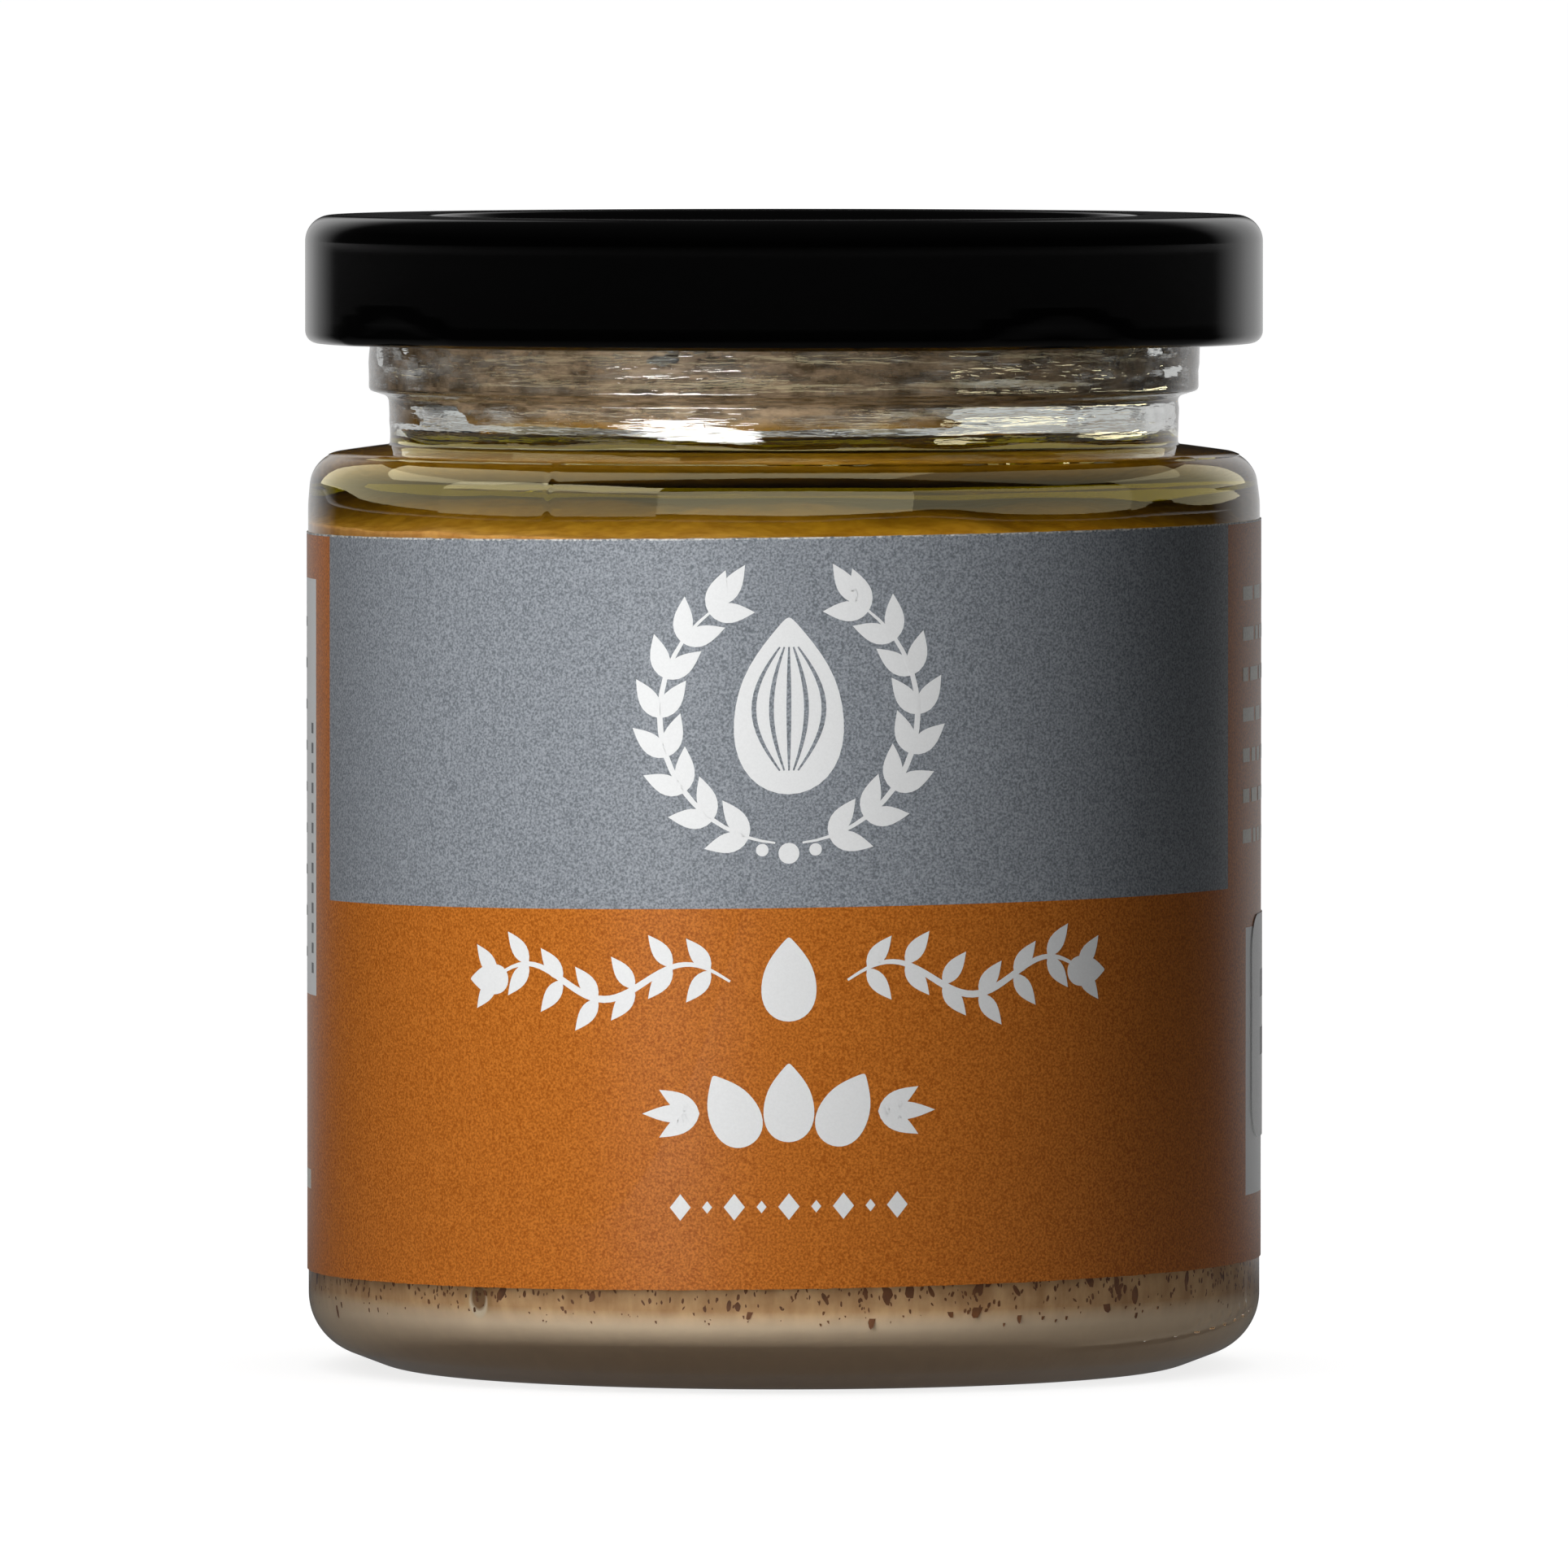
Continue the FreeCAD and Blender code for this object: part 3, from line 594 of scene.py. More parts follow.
def make_skin_flecks():
    """Flakes of skin pressed against the glass by the butter, most of them on end."""
    draw = random.Random(11)
    spots = [(draw.uniform(-180, 180), BASE_TOP + 0.8 + 3.6 * draw.random() ** 0.6) for _ in range(1500)]
    spots += [(draw.uniform(158, 202), draw.uniform(LABEL_BOTTOM, BUTTER_Z - 1.5)) for _ in range(420)]
    count = 9  # corners of a flake
    points, faces = [], []
    for azimuth, z in spots:
        large = draw.random() < (0.16 if 5 < azimuth < 62 else 0.03)
        tall = draw.uniform(0.28, 0.70) if large else draw.uniform(0.07, 0.24)
        wide = tall * draw.uniform(0.32, 0.55)
        lean = draw.gauss(0, 0.3)
        heel = min(INNER_HEEL, max(0, BASE_TOP + INNER_HEEL - z))
        radius = INNER_R - (INNER_HEEL - math.sqrt(INNER_HEEL ** 2 - heel ** 2))
        radius += REACH + wander(azimuth, z) - 0.02
        first = len(points)
        for depth in (0.05, -0.12):
            for k in range(count):
                a = 2 * math.pi * k / count
                ragged = 1 + 0.45 * flow(k * 1.7, azimuth, z)
                u = math.cos(a) * wide * ragged
                v = math.sin(a) * tall * ragged
                side = u * math.cos(lean) - v * math.sin(lean)
                up = u * math.sin(lean) + v * math.cos(lean)
                turned = azimuth + math.degrees(side / INNER_R)
                points.append(around(turned, radius + depth, z + up))
        top = tuple(range(first, first + count))
        bottom = tuple(range(first + count, first + 2 * count))
        faces += [top, bottom[::-1]]
        faces += [(top[k], bottom[k], bottom[(k + 1) % count], top[(k + 1) % count]) for k in range(count)]
    place("skin_flecks", points, faces, [ALMOND_SKIN], "almond_butter")


def make_film(value, low, high, steps, rows, wall, thickness):
    """Points and faces of a thin closed film on a turned wall, wherever value(azimuth, z) is above zero."""
    def spot(i, j):
        return 360 * i / steps - 180, low + (high - low) / rows * j

    field = {}
    for i in range(steps):
        for j in range(rows + 1):
            field[i, j] = -1.0 if j in (0, rows) else value(*spot(i, j))
    points, faces, index = [], [], {}

    def vertex(i, j, depth, key):
        if key not in index:
            azimuth, z = spot(i, j)
            index[key] = len(points)
            points.append(around(azimuth, wall(azimuth, z) - depth, z))
        return index[key]

    for i in range(steps):
        for j in range(rows):
            corners = [(i, j), (i + 1, j), (i + 1, j + 1), (i, j + 1)]
            values = [field[c[0] % steps, c[1]] for c in corners]
            if max(values) <= 0:
                continue
            for inner in (False, True):
                ring = []
                for k in range(4):
                    here, there = corners[k], corners[(k + 1) % 4]
                    a, b = values[k], values[(k + 1) % 4]
                    if a > 0:
                        depth = min(thickness, a * thickness) if inner else 0.0
                        ring.append(vertex(*here, depth, (here[0] % steps, here[1], inner)))
                    if (a > 0) != (b > 0):
                        t = min(0.97, max(0.03, a / (a - b)))
                        at = (here[0] + (there[0] - here[0]) * t, here[1] + (there[1] - here[1]) * t)
                        ends = sorted([(here[0] % steps, here[1]), (there[0] % steps, there[1])])
                        ring.append(vertex(*at, 0.0, tuple(ends)))
                if len(ring) > 2:
                    faces.append(tuple(ring) if inner else tuple(reversed(ring)))
    return points, faces


# Azimuths where the neck is bare glass, and half the width of each.
NECK_WINDOWS = ((-65.0, 9.0), (54.0, 27.0), (126.0, 27.0), (-115.0, 9.0))


def make_neck_smears():
    """Butter left on the wall of the neck above the oil: torn films, thick in their middles."""
    def value(azimuth, z):
        x, y, _ = around(azimuth, 1, 0)
        patch = 0.6 * flow(x * 2.2, y * 2.2, z * 0.15, 21.0) + 0.45 * flow(x * 5, y * 5, z * 0.8, 4.0)
        patch += 0.30 * flow(x * 14, y * 14, z * 2.4, 8.0) + 0.16 * flow(x * 40, y * 40, z * 4.0, 2.0)
        bare = 0.0
        for middle, half in NECK_WINDOWS:
            off = abs((azimuth - middle + 180) % 360 - 180)
            bare = max(bare, 1 / (1 + math.exp((off - half) / 5.0)))
        return 0.46 + patch - 1.35 * bare * (1 - 0.95 * share(z, 70.0, 70.9))

    def wall(azimuth, z):
        return BORE_R + wander(azimuth, z) * below_rim(z) + 0.03

    film = make_film(value, OIL_Z + 0.2, OIL_Z + 12.5, 540, 50, wall, 0.2)
    place("neck_smears", *film, [BUTTER_SMEAR], "almond_butter")


make_butter()
make_oil()
make_skin_flecks()
make_neck_smears()

# ---------------------------------------------------------------- the lid


def lid_sheet():
    """Outline of the cap's sheet, from the middle of its button to the end of its curl and back inside."""
    sheet, curl = 0.25, 0.9
    half = sheet / 2
    top, turned = lid_high[2], lid_low[2] + curl
    path = spaced(rounded([
        (0, top - 1.15 - half, 0),  # the button
        (12.5, top - 1.15 - half, 1.2),
        (13.7, top - 0.8 - half, 1.2),  # the panel
        (25.2, top - 0.8 - half, 0.5),
        (26.0, top - half, 0.5),  # the top over the sealing ring
        (LID_R - half, top - half, 1.9 - half),
        (LID_R - half, turned, 0),
    ], 0.16), 0.8)
    arc = [math.radians(-270 * k / 24) for k in range(1, 25)]
    tight = curl - half
    path += [(LID_R - curl + tight * math.cos(a), turned + tight * math.sin(a)) for a in arc]
    sides = {1: [], -1: []}
    for i, (r, z) in enumerate(path):
        a, b = path[max(i - 1, 0)], path[min(i + 1, len(path) - 1)]
        along = Vector((b[0] - a[0], b[1] - a[1])).normalized()
        for side in sides:
            sides[side].append((max(0.0, r - side * along.y * half), z + side * along.x * half))
    for side in sides:
        sides[side][0] = (0.0, sides[side][0][1])
    return sides[1] + sides[-1][::-1]


def make_lug(at, bottom):
    """A lug pressed inward from the curl at an azimuth, drawn back to the wall at both ends."""
    section = rounded([
        (33.9, bottom + 0.15, 0),
        (30.8, bottom + 0.15, 0.35),
        (30.8, bottom + 1.4, 0.35),
        (33.9, bottom + 1.4, 0),
    ], 0.12)
    columns, count = 25, len(section)
    points, faces = [], []
    for c in range(columns):
        u = c / (columns - 1) * 2 - 1
        pull = max(0.0, abs(u) - 0.55) / 0.45
        points += [around(at + u * 11.2, r + (33.6 - r) * pull ** 2, z) for r, z in section]
    for c in range(columns - 1):
        for j in range(count):
            a, b = c * count + j, c * count + (j + 1) % count
            faces.append((a, b, b + count, a + count))
    faces.append(tuple(range(count)))
    faces.append(tuple(reversed(range((columns - 1) * count, columns * count))))
    return points, faces


def make_lid():
    """The twist-off cap: one sheet, pressed flat outside each of its four lugs."""
    bottom = lid_low[2]
    flat = math.sqrt(LID_R ** 2 - 6.75 ** 2)
    apart = 360.0 / LUGS

    def shift(azimuth, r, z):
        off = (azimuth - LUG_AT + apart / 2) % apart - apart / 2
        across = LID_R * math.sin(math.radians(off))
        if r < LID_R - 2.2 or z > bottom + 3.2:
            return r, z
        crown = 1.7 * math.sqrt(max(0.0, 1 - (across / 6.9) ** 2))
        pressed = share(z, bottom + crown + 0.25, bottom + crown - 0.25)
        pressed = pressed * pressed * (3 - 2 * pressed)
        depth = max(0.0, LID_R - flat / math.cos(math.radians(off)))
        return r - depth * pressed, z

    points, faces = turn(lid_sheet(), every(1.25), shift)
    for k in range(LUGS):
        lug_points, lug_faces = make_lug(LUG_AT + apart * k, bottom)
        faces += [tuple(len(points) + v for v in face) for face in lug_faces]
        points += lug_points
    place("twist_off_lid", points, faces, [BLACK_LACQUER], "black_lacquer", "lid")


make_lid()

# ---------------------------------------------------------------- the label

GREY_FIELD = (-71.0, 67.4, 34.8, 99.0)  # printed fields: azimuth from and to, level from and to
LEFT_PANEL = (-124.0, -77.5, 27.7, 57.9)
RIGHT_PANEL = (74.3, 126.0, 12.4, 31.8)
MIDDLE = 0.35  # how far right of the front, in mm, the ornaments are centred


def label_z(azimuth, level):
    """Height of a level of the label at an azimuth: the label was put on with a slight lean."""
    return level + LABEL_TILT * LABEL_R * math.sin(math.radians(azimuth))


def across(azimuth):
    """Distance to an azimuth from the front, in mm along the label."""
    return math.radians(azimuth) * LABEL_R


def inside(field, azimuth, level):
    return field[0] < azimuth < field[1] and field[2] < level < field[3]


def divided(stops, step):
    """The stops in order, with more between them, so that none is further than a step from the next."""
    stops = sorted(set(stops))
    out = []
    for a, b in zip(stops, stops[1:]):
        count = math.ceil((b - a) / step)
        out += [a + (b - a) * k / count for k in range(count)]
    return out + stops[-1:]


def make_label():
    """The paper, cut slightly rough along its top and bottom, in the colours of its printed fields."""
    fibres = LABEL_TOP - 0.13
    columns = divided([-LABEL_END, LABEL_END, *GREY_FIELD[:2], *LEFT_PANEL[:2], *RIGHT_PANEL[:2]], 0.8)
    rows = divided([LABEL_BOTTOM, fibres, LABEL_TOP, GREY_FIELD[2], *LEFT_PANEL[2:], *RIGHT_PANEL[2:]], 2.0)
    materials = [ORANGE_PRINT, GREY_PRINT, WHITE_PRINT, PAPER_EDGE, CUT_EDGE]
    orange, grey, white, plain, cut = range(len(materials))
    points, faces, kinds = [], [], []
    for radius in (LABEL_R, LABEL_R - PAPER):
        for azimuth in columns:
            for level in rows:
                z = label_z(azimuth, level)
                if level in (rows[0], rows[-1]):
                    z += 0.035 * flow(azimuth * 0.9, level, 0, 1.0)
                    z += 0.02 * flow(azimuth * 4.0, level, 0, 6.0)
                points.append(around(azimuth, radius, z))
    tall, wide = len(rows), len(columns)
    back = wide * tall
    for i in range(wide - 1):
        for j in range(tall - 1):
            a = i * tall + j
            quad = (a, a + tall, a + tall + 1, a + 1)
            spot = (columns[i] + columns[i + 1]) / 2, (rows[j] + rows[j + 1]) / 2
            kind = orange
            if spot[1] > fibres:
                kind = cut
            elif inside(GREY_FIELD, *spot):
                kind = grey
            elif inside(LEFT_PANEL, *spot) or inside(RIGHT_PANEL, *spot):
                kind = white
            faces += [quad, tuple(v + back for v in reversed(quad))]
            kinds += [kind, plain]
    last = (wide - 1) * tall
    border = [(i * tall, (i + 1) * tall) for i in range(wide - 1)]
    border += [((i + 2) * tall - 1, (i + 1) * tall - 1) for i in range(wide - 1)]
    border += [(j + 1, j) for j in range(tall - 1)]
    border += [(last + j, last + j + 1) for j in range(tall - 1)]
    faces += [(b, a, a + back, b + back) for a, b in border]
    kinds += [plain] * len(border)
    place("paper_label", points, faces, materials, "label_paper", "label", kinds)


def bend_on(shapes, radius, thickness, lean=True):
    """Flat shapes, as (across, level) outlines, cut into strips and bent on to the jar as closed films."""
    work = bmesh.new()
    for k, shape in enumerate(shapes):
        layer = (k % 29) * 0.0005  # so that no two shapes that cross share a surface
        work.faces.new([work.verts.new((x, y, layer)) for x, y in shape])
    ends = [x for shape in shapes for x, _ in shape]
    x = math.floor(min(ends))
    while x < max(ends):
        geometry = work.verts[:] + work.edges[:] + work.faces[:]
        bmesh.ops.bisect_plane(work, geom=geometry, plane_co=(x, 0, 0), plane_no=(1, 0, 0))
        x += 0.8
    bmesh.ops.triangulate(work, faces=work.faces[:])
    bmesh.ops.recalc_face_normals(work, faces=work.faces[:])
    for face in work.faces:
        if face.normal.z < 0:
            face.normal_flip()
    raised = bmesh.ops.extrude_face_region(work, geom=work.faces[:], use_keep_orig=True)
    for item in raised["geom"]:
        if isinstance(item, bmesh.types.BMVert):
            item.co.z += thickness
    work.verts.index_update()
    points = []
    for v in work.verts:
        azimuth = math.degrees(v.co.x / LABEL_R)
        z = label_z(azimuth, v.co.y) if lean else v.co.y
        points.append(around(azimuth, radius + v.co.z, z))
    faces = [tuple(v.index for v in f.verts) for f in work.faces]
    work.free()
    return points, faces


def turned_to(x, y, angle, spots):
    """Spots (along, aside) of a small shape, moved to a place and turned to an angle."""
    c, s = math.cos(math.radians(angle)), math.sin(math.radians(angle))
    return [(x + along * c - aside * s, y + along * s + aside * c) for along, aside in spots]


def leaf(x, y, length, width, angle):
    """A pointed leaf that starts at a point and lies at an angle."""
    spots = []
    for k in range(16):
        t = k / 8 if k <= 8 else (16 - k) / 8
        spots.append((t * length, (1 if k <= 8 else -1) * width / 2 * math.sin(math.pi * t ** 0.8)))
    return turned_to(x, y, angle, spots)


def kernel(x, y, length, width, angle=90.0):
    """An almond kernel, round at one end and pointed at the other, which points to the angle."""
    spots = []
    for k in range(40):
        turned = 2 * math.pi * k / 40
        along = -math.cos(turned) * length / 2
        aside = math.sin(turned) * width / 2 * (1 + 0.28 * math.cos(turned))
        spots.append((along, aside * (1 - 0.55 * max(0.0, along / (length / 2)) ** 3)))
    return turned_to(x, y, angle, spots)


def disc(x, y, radius, count=20):
    turns = [2 * math.pi * k / count for k in range(count)]
    return [(x + radius * math.cos(a), y + radius * math.sin(a)) for a in turns]


def stroke(points, width):
    """A line drawn with a pen, thinner at both ends."""
    left, right = [], []
    for i, (x, y) in enumerate(points):
        a = points[max(i - 1, 0)]
        b = points[min(i + 1, len(points) - 1)]
        d = math.dist(a, b)
        nx, ny = -(b[1] - a[1]) / d, (b[0] - a[0]) / d
        w = width / 2 * (0.35 + 0.65 * math.sin(math.pi * i / (len(points) - 1)))
        left.append((x + nx * w, y + ny * w))
        right.append((x - nx * w, y - ny * w))
    return left + right[::-1]


def bar(x0, x1, level, half):
    """A bar from x0 to x1 along the label, reaching half its height above and below a level."""
    return [(x0, level - half), (x1, level - half), (x1, level + half), (x0, level + half)]


def wreath(level):
    """An almond kernel between two bent twigs in leaf, with three berries under it."""
    white = [kernel(MIDDLE, level + 0.6, 12.6, 7.6)]
    for side in (-1, 1):
        bends = [math.radians(-84 + 142 * k / 24) for k in range(25)]
        stem = [(MIDDLE + side * 9.3 * math.cos(a), level + 9.2 * math.sin(a)) for a in bends]
        white.append(stroke(stem, 0.42))
        for (x, y), ahead in list(zip(stem, stem[1:]))[2::3]:
            heading = math.degrees(math.atan2(ahead[1] - y, ahead[0] - x))
            white += [leaf(x, y, 3.3, 1.45, heading + twist) for twist in (34, -34)]
        white.append(leaf(*stem[-1], 3.4, 1.4, 122 if side > 0 else 58))
    berries = ((0, 0, 0.75), (-1.9, 0.25, 0.45), (1.9, 0.25, 0.45))
    return white + [disc(MIDDLE + x, level - 9.9 + y, r) for x, y, r in berries]


def waves(level):
    """A border of two waving twigs, with a large kernel between them and a small one at each end."""
    white = []
    for side, outward in ((-1, 180), (1, 0)):
        steps = [k / 40 for k in range(41)]
        wave = [(MIDDLE + side * (4.2 + 18.6 * t), level + 1.25 * math.sin(t * 3 * math.pi)) for t in steps]
        white.append(stroke(wave, 0.5))
        for spot in wave[3:40:6]:
            white += [leaf(*spot, 2.9, 1.25, outward + twist) for twist in (52, -52)]
        white.append(kernel(MIDDLE + side * 23.0, level + 0.1, 3.4, 2.1, outward))
    return white + [kernel(MIDDLE, level + 0.1, 6.0, 3.8)]


def kernels(level):
    """A border of three kernels with leaves at both ends."""
    white = [kernel(MIDDLE + offset, level + up, 5.6, 3.5, tip)
             for offset, up, tip in ((-4.1, 0, 118), (0, 0.5, 90), (4.1, 0, 62))]
    for side, outward in ((-1, 180), (1, 0)):
        white += [leaf(MIDDLE + side * 6.4, level - 0.2, length, 1.3, outward + twist)
                  for twist, length in ((0, 4.2), (30, 3.4), (-30, 3.4))]
    return white


def diamonds(level):
    """A border of nine diamonds, large and small in turn."""
    white = []
    for k in range(-4, 5):
        x = MIDDLE + k * 1.95
        size = 0.95 if k % 2 == 0 else 0.45
        side = size * 0.8
        white.append([(x - side, level), (x, level - size), (x + side, level), (x, level + size)])
    return white


def make_ornaments():
    """White printed ornaments, a wreath above and three plain borders below, and grooves on the kernel."""
    centre = 48.6
    white = wreath(centre) + waves(29.6) + kernels(20.4) + diamonds(13.5)
    place("white_ornaments", *bend_on(white, LABEL_R, 0.012), [WHITE_PRINT], "label_paper")
    grey = []
    for k in range(-2, 3):
        steps = [step / 8 - 1 for step in range(17)]
        groove = [(MIDDLE + k * 1.25 * math.cos(math.pi * t / 2.4), centre + 0.4 + t * 4.4) for t in steps]
        grey.append(stroke(groove, 0.34))
    place("kernel_grooves", *bend_on(grey, LABEL_R + 0.012, 0.008), [GREY_PRINT], "label_paper")


def make_small_print():
    """Places of small print as plain bars, with no lettering."""
    draw = random.Random(5)
    pale, dark = [], []
    start = across(72.9)
    for line in range(7):
        x = start
        end = start + draw.uniform(24, 30)
        while x < end:
            word = draw.uniform(1.0, 3.6)
            pale.append(bar(x, x + word, 56.0 - 2.93 * line, 0.5))
            x += word + 0.7
    edge = across(LEFT_PANEL[1])
    bottom = LEFT_PANEL[2]
    dark += [bar(edge - 1.9, edge - 1.1, bottom + 1.975 + k * 1.45, 0.375) for k in range(13)]
    for line in range(9):
        x = edge - 5.0
        while x > edge - 22.0:
            word = draw.uniform(1.0, 3.4)
            dark.append(bar(x - word, x, bottom + 3.0 + line * 3.0, 0.35))
            x -= word + 0.8
    corner = across(-81.5)
    pale.append(bar(corner - 3.5, corner, 14.3, 0.7))
    place("pale_print", *bend_on(pale, LABEL_R, 0.01), [PAPER_EDGE], "label_paper")
    place("dark_print", *bend_on(dark, LABEL_R, 0.01), [INK], "label_paper")


def make_sticker():
    """The date sticker, stuck on over the printed panel at the right, with its date as two rows of bars."""
    low, high = node_box("date_sticker")
    centre = across(98.5)
    corner = 2.5
    side, up = 26.0 / 2 - corner, (high[2] - low[2]) / 2 - corner
    outline = []
    for cx, cy, start in ((1, 1, 0), (-1, 1, 90), (-1, -1, 180), (1, -1, 270)):
        for k in range(9):
            a = math.radians(start + 90 * k / 8)
            outline.append((centre + cx * side + corner * math.cos(a),
                            (low[2] + high[2]) / 2 + cy * up + corner * math.sin(a)))
    paper = bend_on([outline], LABEL_R + 0.005, 0.08, lean=False)
    place("date_sticker_paper", *paper, [STICKER_PAPER], "sticker_paper", "date_sticker")
    left = centre - 9.0
    bars = [bar(left + 2.1 * k, left + 2.1 * k + 1.3, level, 1.0)
            for level, count in ((28.0, 6), (23.8, 8)) for k in range(count)]
    place("date_marks", *bend_on(bars, LABEL_R + 0.085, 0.008, lean=False), [INK], "sticker_paper")


make_label()
make_ornaments()
make_small_print()
make_sticker()

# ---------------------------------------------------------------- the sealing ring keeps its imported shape

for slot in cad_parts["lid_seal"].material_slots:
    slot.material = SEALING_COMPOUND

# ---------------------------------------------------------------- studio

# Lamps, the camera and the levels on the table are placed in metres, and lamps by azimuth.


def room_levels(tree, x, y, low, high):
    """Levels by direction: what clear glass sees, and a level that goes from low to high behind the jar."""
    window = add(tree, "MapRange", ramp(-0.2, 0.5, 0.16, 0.62), {"Value": y})
    lean = add(tree, "Math", {"operation": "MULTIPLY_ADD", 1: 0.10}, {0: x, 2: y})
    return window, add(tree, "MapRange", ramp(0.68, 0.90, low, high), {"Value": lean})


def studio_world():
    """A dark room with pale cards behind the jar, left and right. Seen directly, every side is white."""
    world = bpy.data.worlds.new("studio")
    bpy.context.scene.world = world
    world.use_nodes = True
    tree = world.node_tree
    tree.nodes.clear()
    where = add(tree, "TexCoord").outputs["Generated"]
    split = add(tree, "SeparateXYZ", None, {0: where}).outputs
    behind, back = room_levels(tree, split["X"], split["Y"], 0.0, 1.0)
    low = add(tree, "MapRange", ramp(0.012, 0.0, 0.0, 0.6), {"Value": split["Z"]})
    aside = add(tree, "Math", {"operation": "ABSOLUTE"}, {0: split["X"]})
    parted = add(tree, "MapRange", ramp(0.05, 0.12), {"Value": aside})
    tall = add(tree, "MapRange", ramp(0.62, 0.40, 0.0, 0.64), {"Value": split["Z"]})
    halves = add(tree, "Math", {"operation": "MULTIPLY"}, {0: parted, 1: back})
    cards = add(tree, "Math", {"operation": "MULTIPLY"}, {0: halves, 1: tall})
    ceiling = add(tree, "MapRange", ramp(0.4, 1.0, 0.012, 0.05), {"Value": split["Z"]})
    either = add(tree, "Math", {"operation": "MAXIMUM"}, {0: low, 1: cards})
    mirrored = add(tree, "Math", {"operation": "MAXIMUM"}, {0: either, 1: ceiling})
    room = add(tree, "Background", {"Color": WHITE, "Strength": 0.034})
    shader = by_ray(tree, room, (
        ("Is Glossy Ray", add(tree, "Background", {"Color": WHITE}, {"Strength": mirrored})),
        ("Is Transmission Ray", add(tree, "Background", {"Color": WHITE}, {"Strength": behind})),
        ("Is Camera Ray", add(tree, "Background", {"Color": WHITE, "Strength": 1.0})),
    ))
    add(tree, "OutputWorld", None, {"Surface": shader})


def white_table():
    """A white table: bright where it is seen directly, and shaded only by the jar that stands on it."""
    material, tree, where = new_material("white_table")
    far = add(tree, "VectorMath", {"operation": "LENGTH"}, {0: where})
    split = add(tree, "SeparateXYZ", None, {0: where}).outputs

    # As scattered light finds it: darker further off, with a trace of glow under the foot.
    bright = add(tree, "MapRange", ramp(0.09, 0.16, 0.32, 0.05), {"Value": far})
    sheltered = add(tree, "BsdfDiffuse", None, {"Color": bright})
    foot = add(tree, "MapRange", ramp(0.036, 0.050, 0.05, 0.0), {"Value": far})
    bled = add(tree, "Emission", {"Color": linear("#fbe6dc")}, {"Strength": foot})
    shaded = add(tree, "AddShader", None, {0: sheltered, 1: bled})

    # As it is seen directly.
    lit = add(tree, "BsdfDiffuse", {"Color": linear("#8f8f8f")})
    away = add(tree, "MapRange", ramp(0.05, 0.40, 0.80, 1.0), {"Value": far})
    glow = add(tree, "Emission", {"Color": WHITE}, {"Strength": away})
    seen = add(tree, "AddShader", None, {0: lit, 1: glow})

    # As it is mirrored, and as it is seen through glass: near the jar, and further off.
    slope = add(tree, "Math", {"operation": "DIVIDE"}, {0: split["Y"], 1: far})
    across_it = add(tree, "Math", {"operation": "DIVIDE"}, {0: split["X"], 1: far})
    clear, behind = room_levels(tree, across_it, slope, 0.012, 0.64)
    off = add(tree, "MapRange", ramp(0.10, 0.25), {"Value": far})
    close = add(tree, "Emission", {"Color": WHITE, "Strength": 0.09})
    card = add(tree, "Emission", {"Color": WHITE}, {"Strength": behind})
    mirrored = add(tree, "MixShader", None, {0: off, 1: close, 2: card})
    under = add(tree, "MapRange", ramp(0.035, 0.09, 0.35, 0.70), {"Value": far})
    dim = add(tree, "Emission", {"Color": linear("#fbdcc4")}, {"Strength": under})
    window = add(tree, "Emission", {"Color": WHITE}, {"Strength": clear})
    through = add(tree, "MixShader", None, {0: off, 1: dim, 2: window})

    finish_material(tree, by_ray(tree, shaded, (
        ("Is Glossy Ray", mirrored), ("Is Transmission Ray", through), ("Is Camera Ray", seen),
    )))
    return material


def studio_floor():
    half = 40000.0
    corners = [(-half, -half, 0), (half, -half, 0), (half, half, 0), (-half, half, 0)]
    material = white_table()
    mesh = make_mesh("table", corners, [(0, 1, 2, 3)])
    table = bpy.data.objects.new("table", mesh)
    mesh.materials.append(material)
    bpy.context.scene.collection.objects.link(table)


def point_at(holder, height):
    """Turns a lamp or camera to a height on the jar's axis."""
    line = Vector((0, 0, height)) - Vector(holder.location)
    holder.rotation_euler = line.to_track_quat("-Z", "Y").to_euler()


def softbox(name, azimuth, distance, height, aim, width, tall, energy):
    """A rectangular soft lamp that faces a height on the jar's axis."""
    lamp = bpy.data.lights.new(name, "AREA")
    lamp.shape = "RECTANGLE"
    lamp.size = width
    lamp.size_y = tall
    lamp.energy = energy
    box = bpy.data.objects.new(name, lamp)
    box.location = around(azimuth, distance, height)
    point_at(box, aim)
    box.visible_camera = False
    bpy.context.scene.collection.objects.link(box)
    return box


def only_on(lamp, names):
    """Flags a lamp off all but the pieces named."""
    lit = bpy.data.collections.new(lamp.name + "_lit")
    for name in names:
        lit.objects.link(bpy.data.objects[name])
    lamp.light_linking.receiver_collection = lit


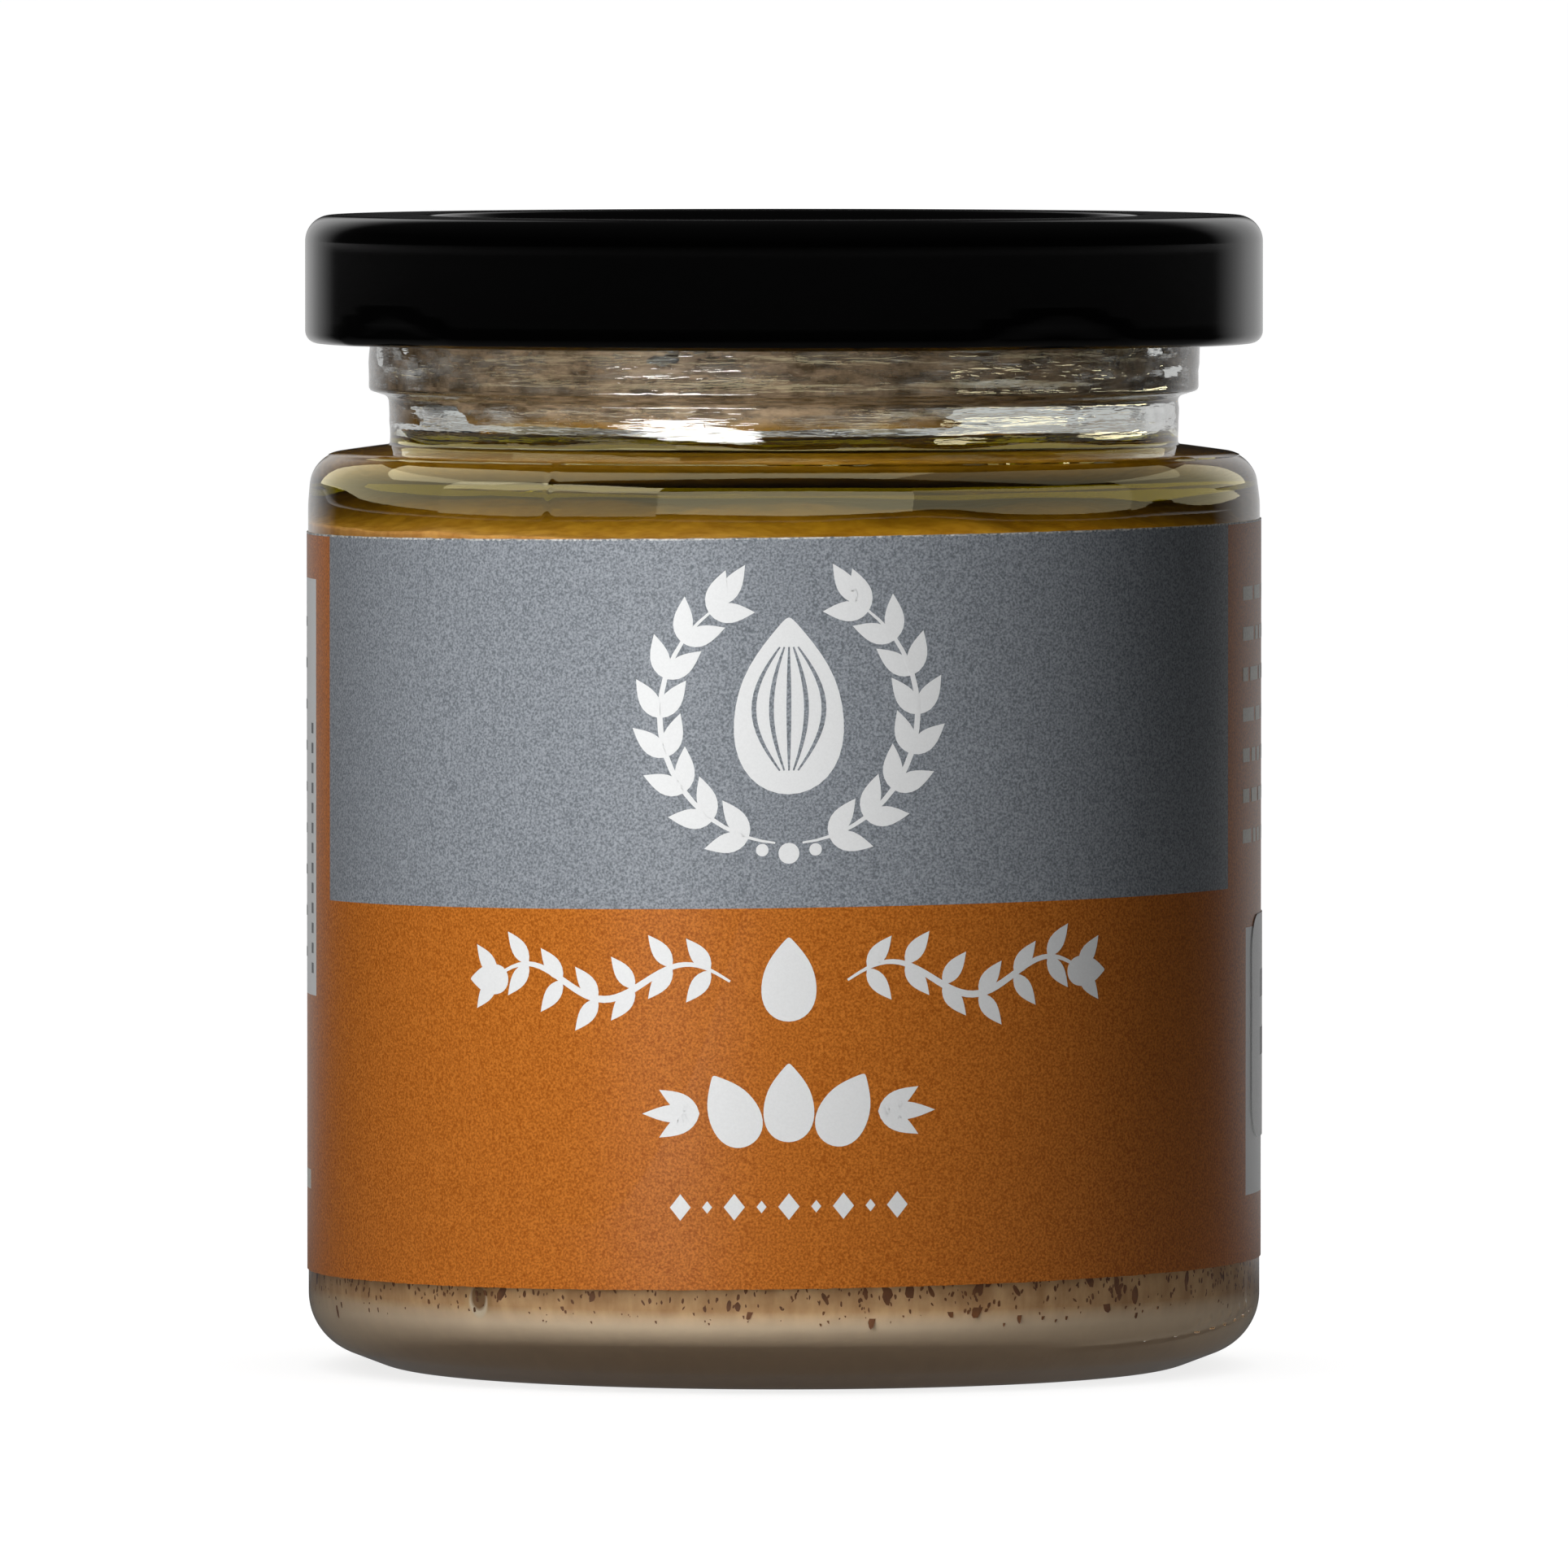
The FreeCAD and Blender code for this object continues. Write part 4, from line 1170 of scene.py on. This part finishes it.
def lighting_lamps():
    """Lamps that light the jar and table and show in no reflection. The key is close at the front left."""
    pieces = [piece.name for piece in bpy.context.scene.objects if piece.type == "MESH"]
    off_table = [name for name in pieces if name != "table"]
    off_lid = [name for name in off_table if name != "twist_off_lid"]
    contents = ["butter", "oil", "skin_flecks", "neck_smears"]
    for name, azimuth, distance, height, aim, width, tall, energy, lit, through_glass in (
        ("softbox", -25, 0.135, 0.05, 0.05, 0.045, 0.30, 0.247, off_lid, False),
        ("back_softbox", 180, 0.45, 0.12, 0.045, 0.30, 0.40, 1.2, off_table, False),
        ("fill", -8, 0.36, 0.34, 0.045, 0.25, 0.25, 2.1, contents, True),
        ("foot_fill", -14, 0.30, 0.03, 0.003, 0.16, 0.04, 0.13, ["butter", "skin_flecks"], False),
        ("over_table", 0, 0.001, 0.60, 0.0, 0.80, 0.80, 6.0, ["table"], True),
    ):
        lamp = softbox(name, azimuth, distance, height, aim, width, tall, energy)
        lamp.visible_glossy = False
        lamp.visible_transmission = through_glass
        only_on(lamp, lit)


def reflected_lamps():
    """Lamps that only show in the jar's glass: a glint, two ceilings, and walls and strips round it."""
    glint = softbox("glint", -28, 0.135, 0.0415, 0.068, 0.11, 0.027, 0.17)
    glint.data.shape = "ELLIPSE"
    ceilings = [softbox("ceiling", -106, 0.416, 0.45, 0.0, 1.10, 0.67, 6.2),
                softbox("ceiling_right", 104, 0.4645, 0.45, 0.0, 0.60, 0.67, 1.1)]
    for lamp in ceilings:
        lamp.rotation_euler = (0, 0, 0)
    walls = [softbox(name, azimuth, 0.5, height, height, 0.577, tall, energy)
             for name, azimuth, height, tall, energy in (
        ("wall_front", 0, 0.161, 0.128, 0.81),
        ("wall_right", 60, 0.176, 0.157, 0.50),
        ("wall_back_right", 120, 0.240, 0.300, 0.65),
        ("wall_back_left", 240, 0.240, 0.300, 1.00),
        ("wall_left", 300, 0.135, 0.110, 0.42),
        ("wall_left_high", 300, 0.275, 0.170, 1.60),
    )]
    strips = [softbox("strip_%d" % azimuth, azimuth, 0.20, 0.045, 0.068, 0.14, 0.012, 0.06)
              for azimuth in (65, 108)]
    tinted = ceilings + walls + strips
    for lamp in tinted:
        lamp.data.color = linear("#fff4c6")[:3]
    for lamp in [glint] + tinted:
        lamp.visible_diffuse = False
        lamp.visible_transmission = lamp is glint
        only_on(lamp, ["jar_glass"])


def studio_camera():
    """A long lens, level with a shopper's eye for a jar on a shelf: 2.2 degrees down."""
    camera = bpy.data.cameras.new("camera")
    camera.lens = 518.0
    camera.sensor_width = 36.0
    camera.clip_end = 100.0
    holder = bpy.data.objects.new("camera", camera)
    holder.location = (0, -1.640, 0.1058)
    point_at(holder, 0.0423)
    bpy.context.scene.collection.objects.link(holder)
    bpy.context.scene.camera = holder


studio_world()
studio_floor()
lighting_lamps()
reflected_lamps()
studio_camera()
bpy.context.scene.view_settings.view_transform = "Standard"
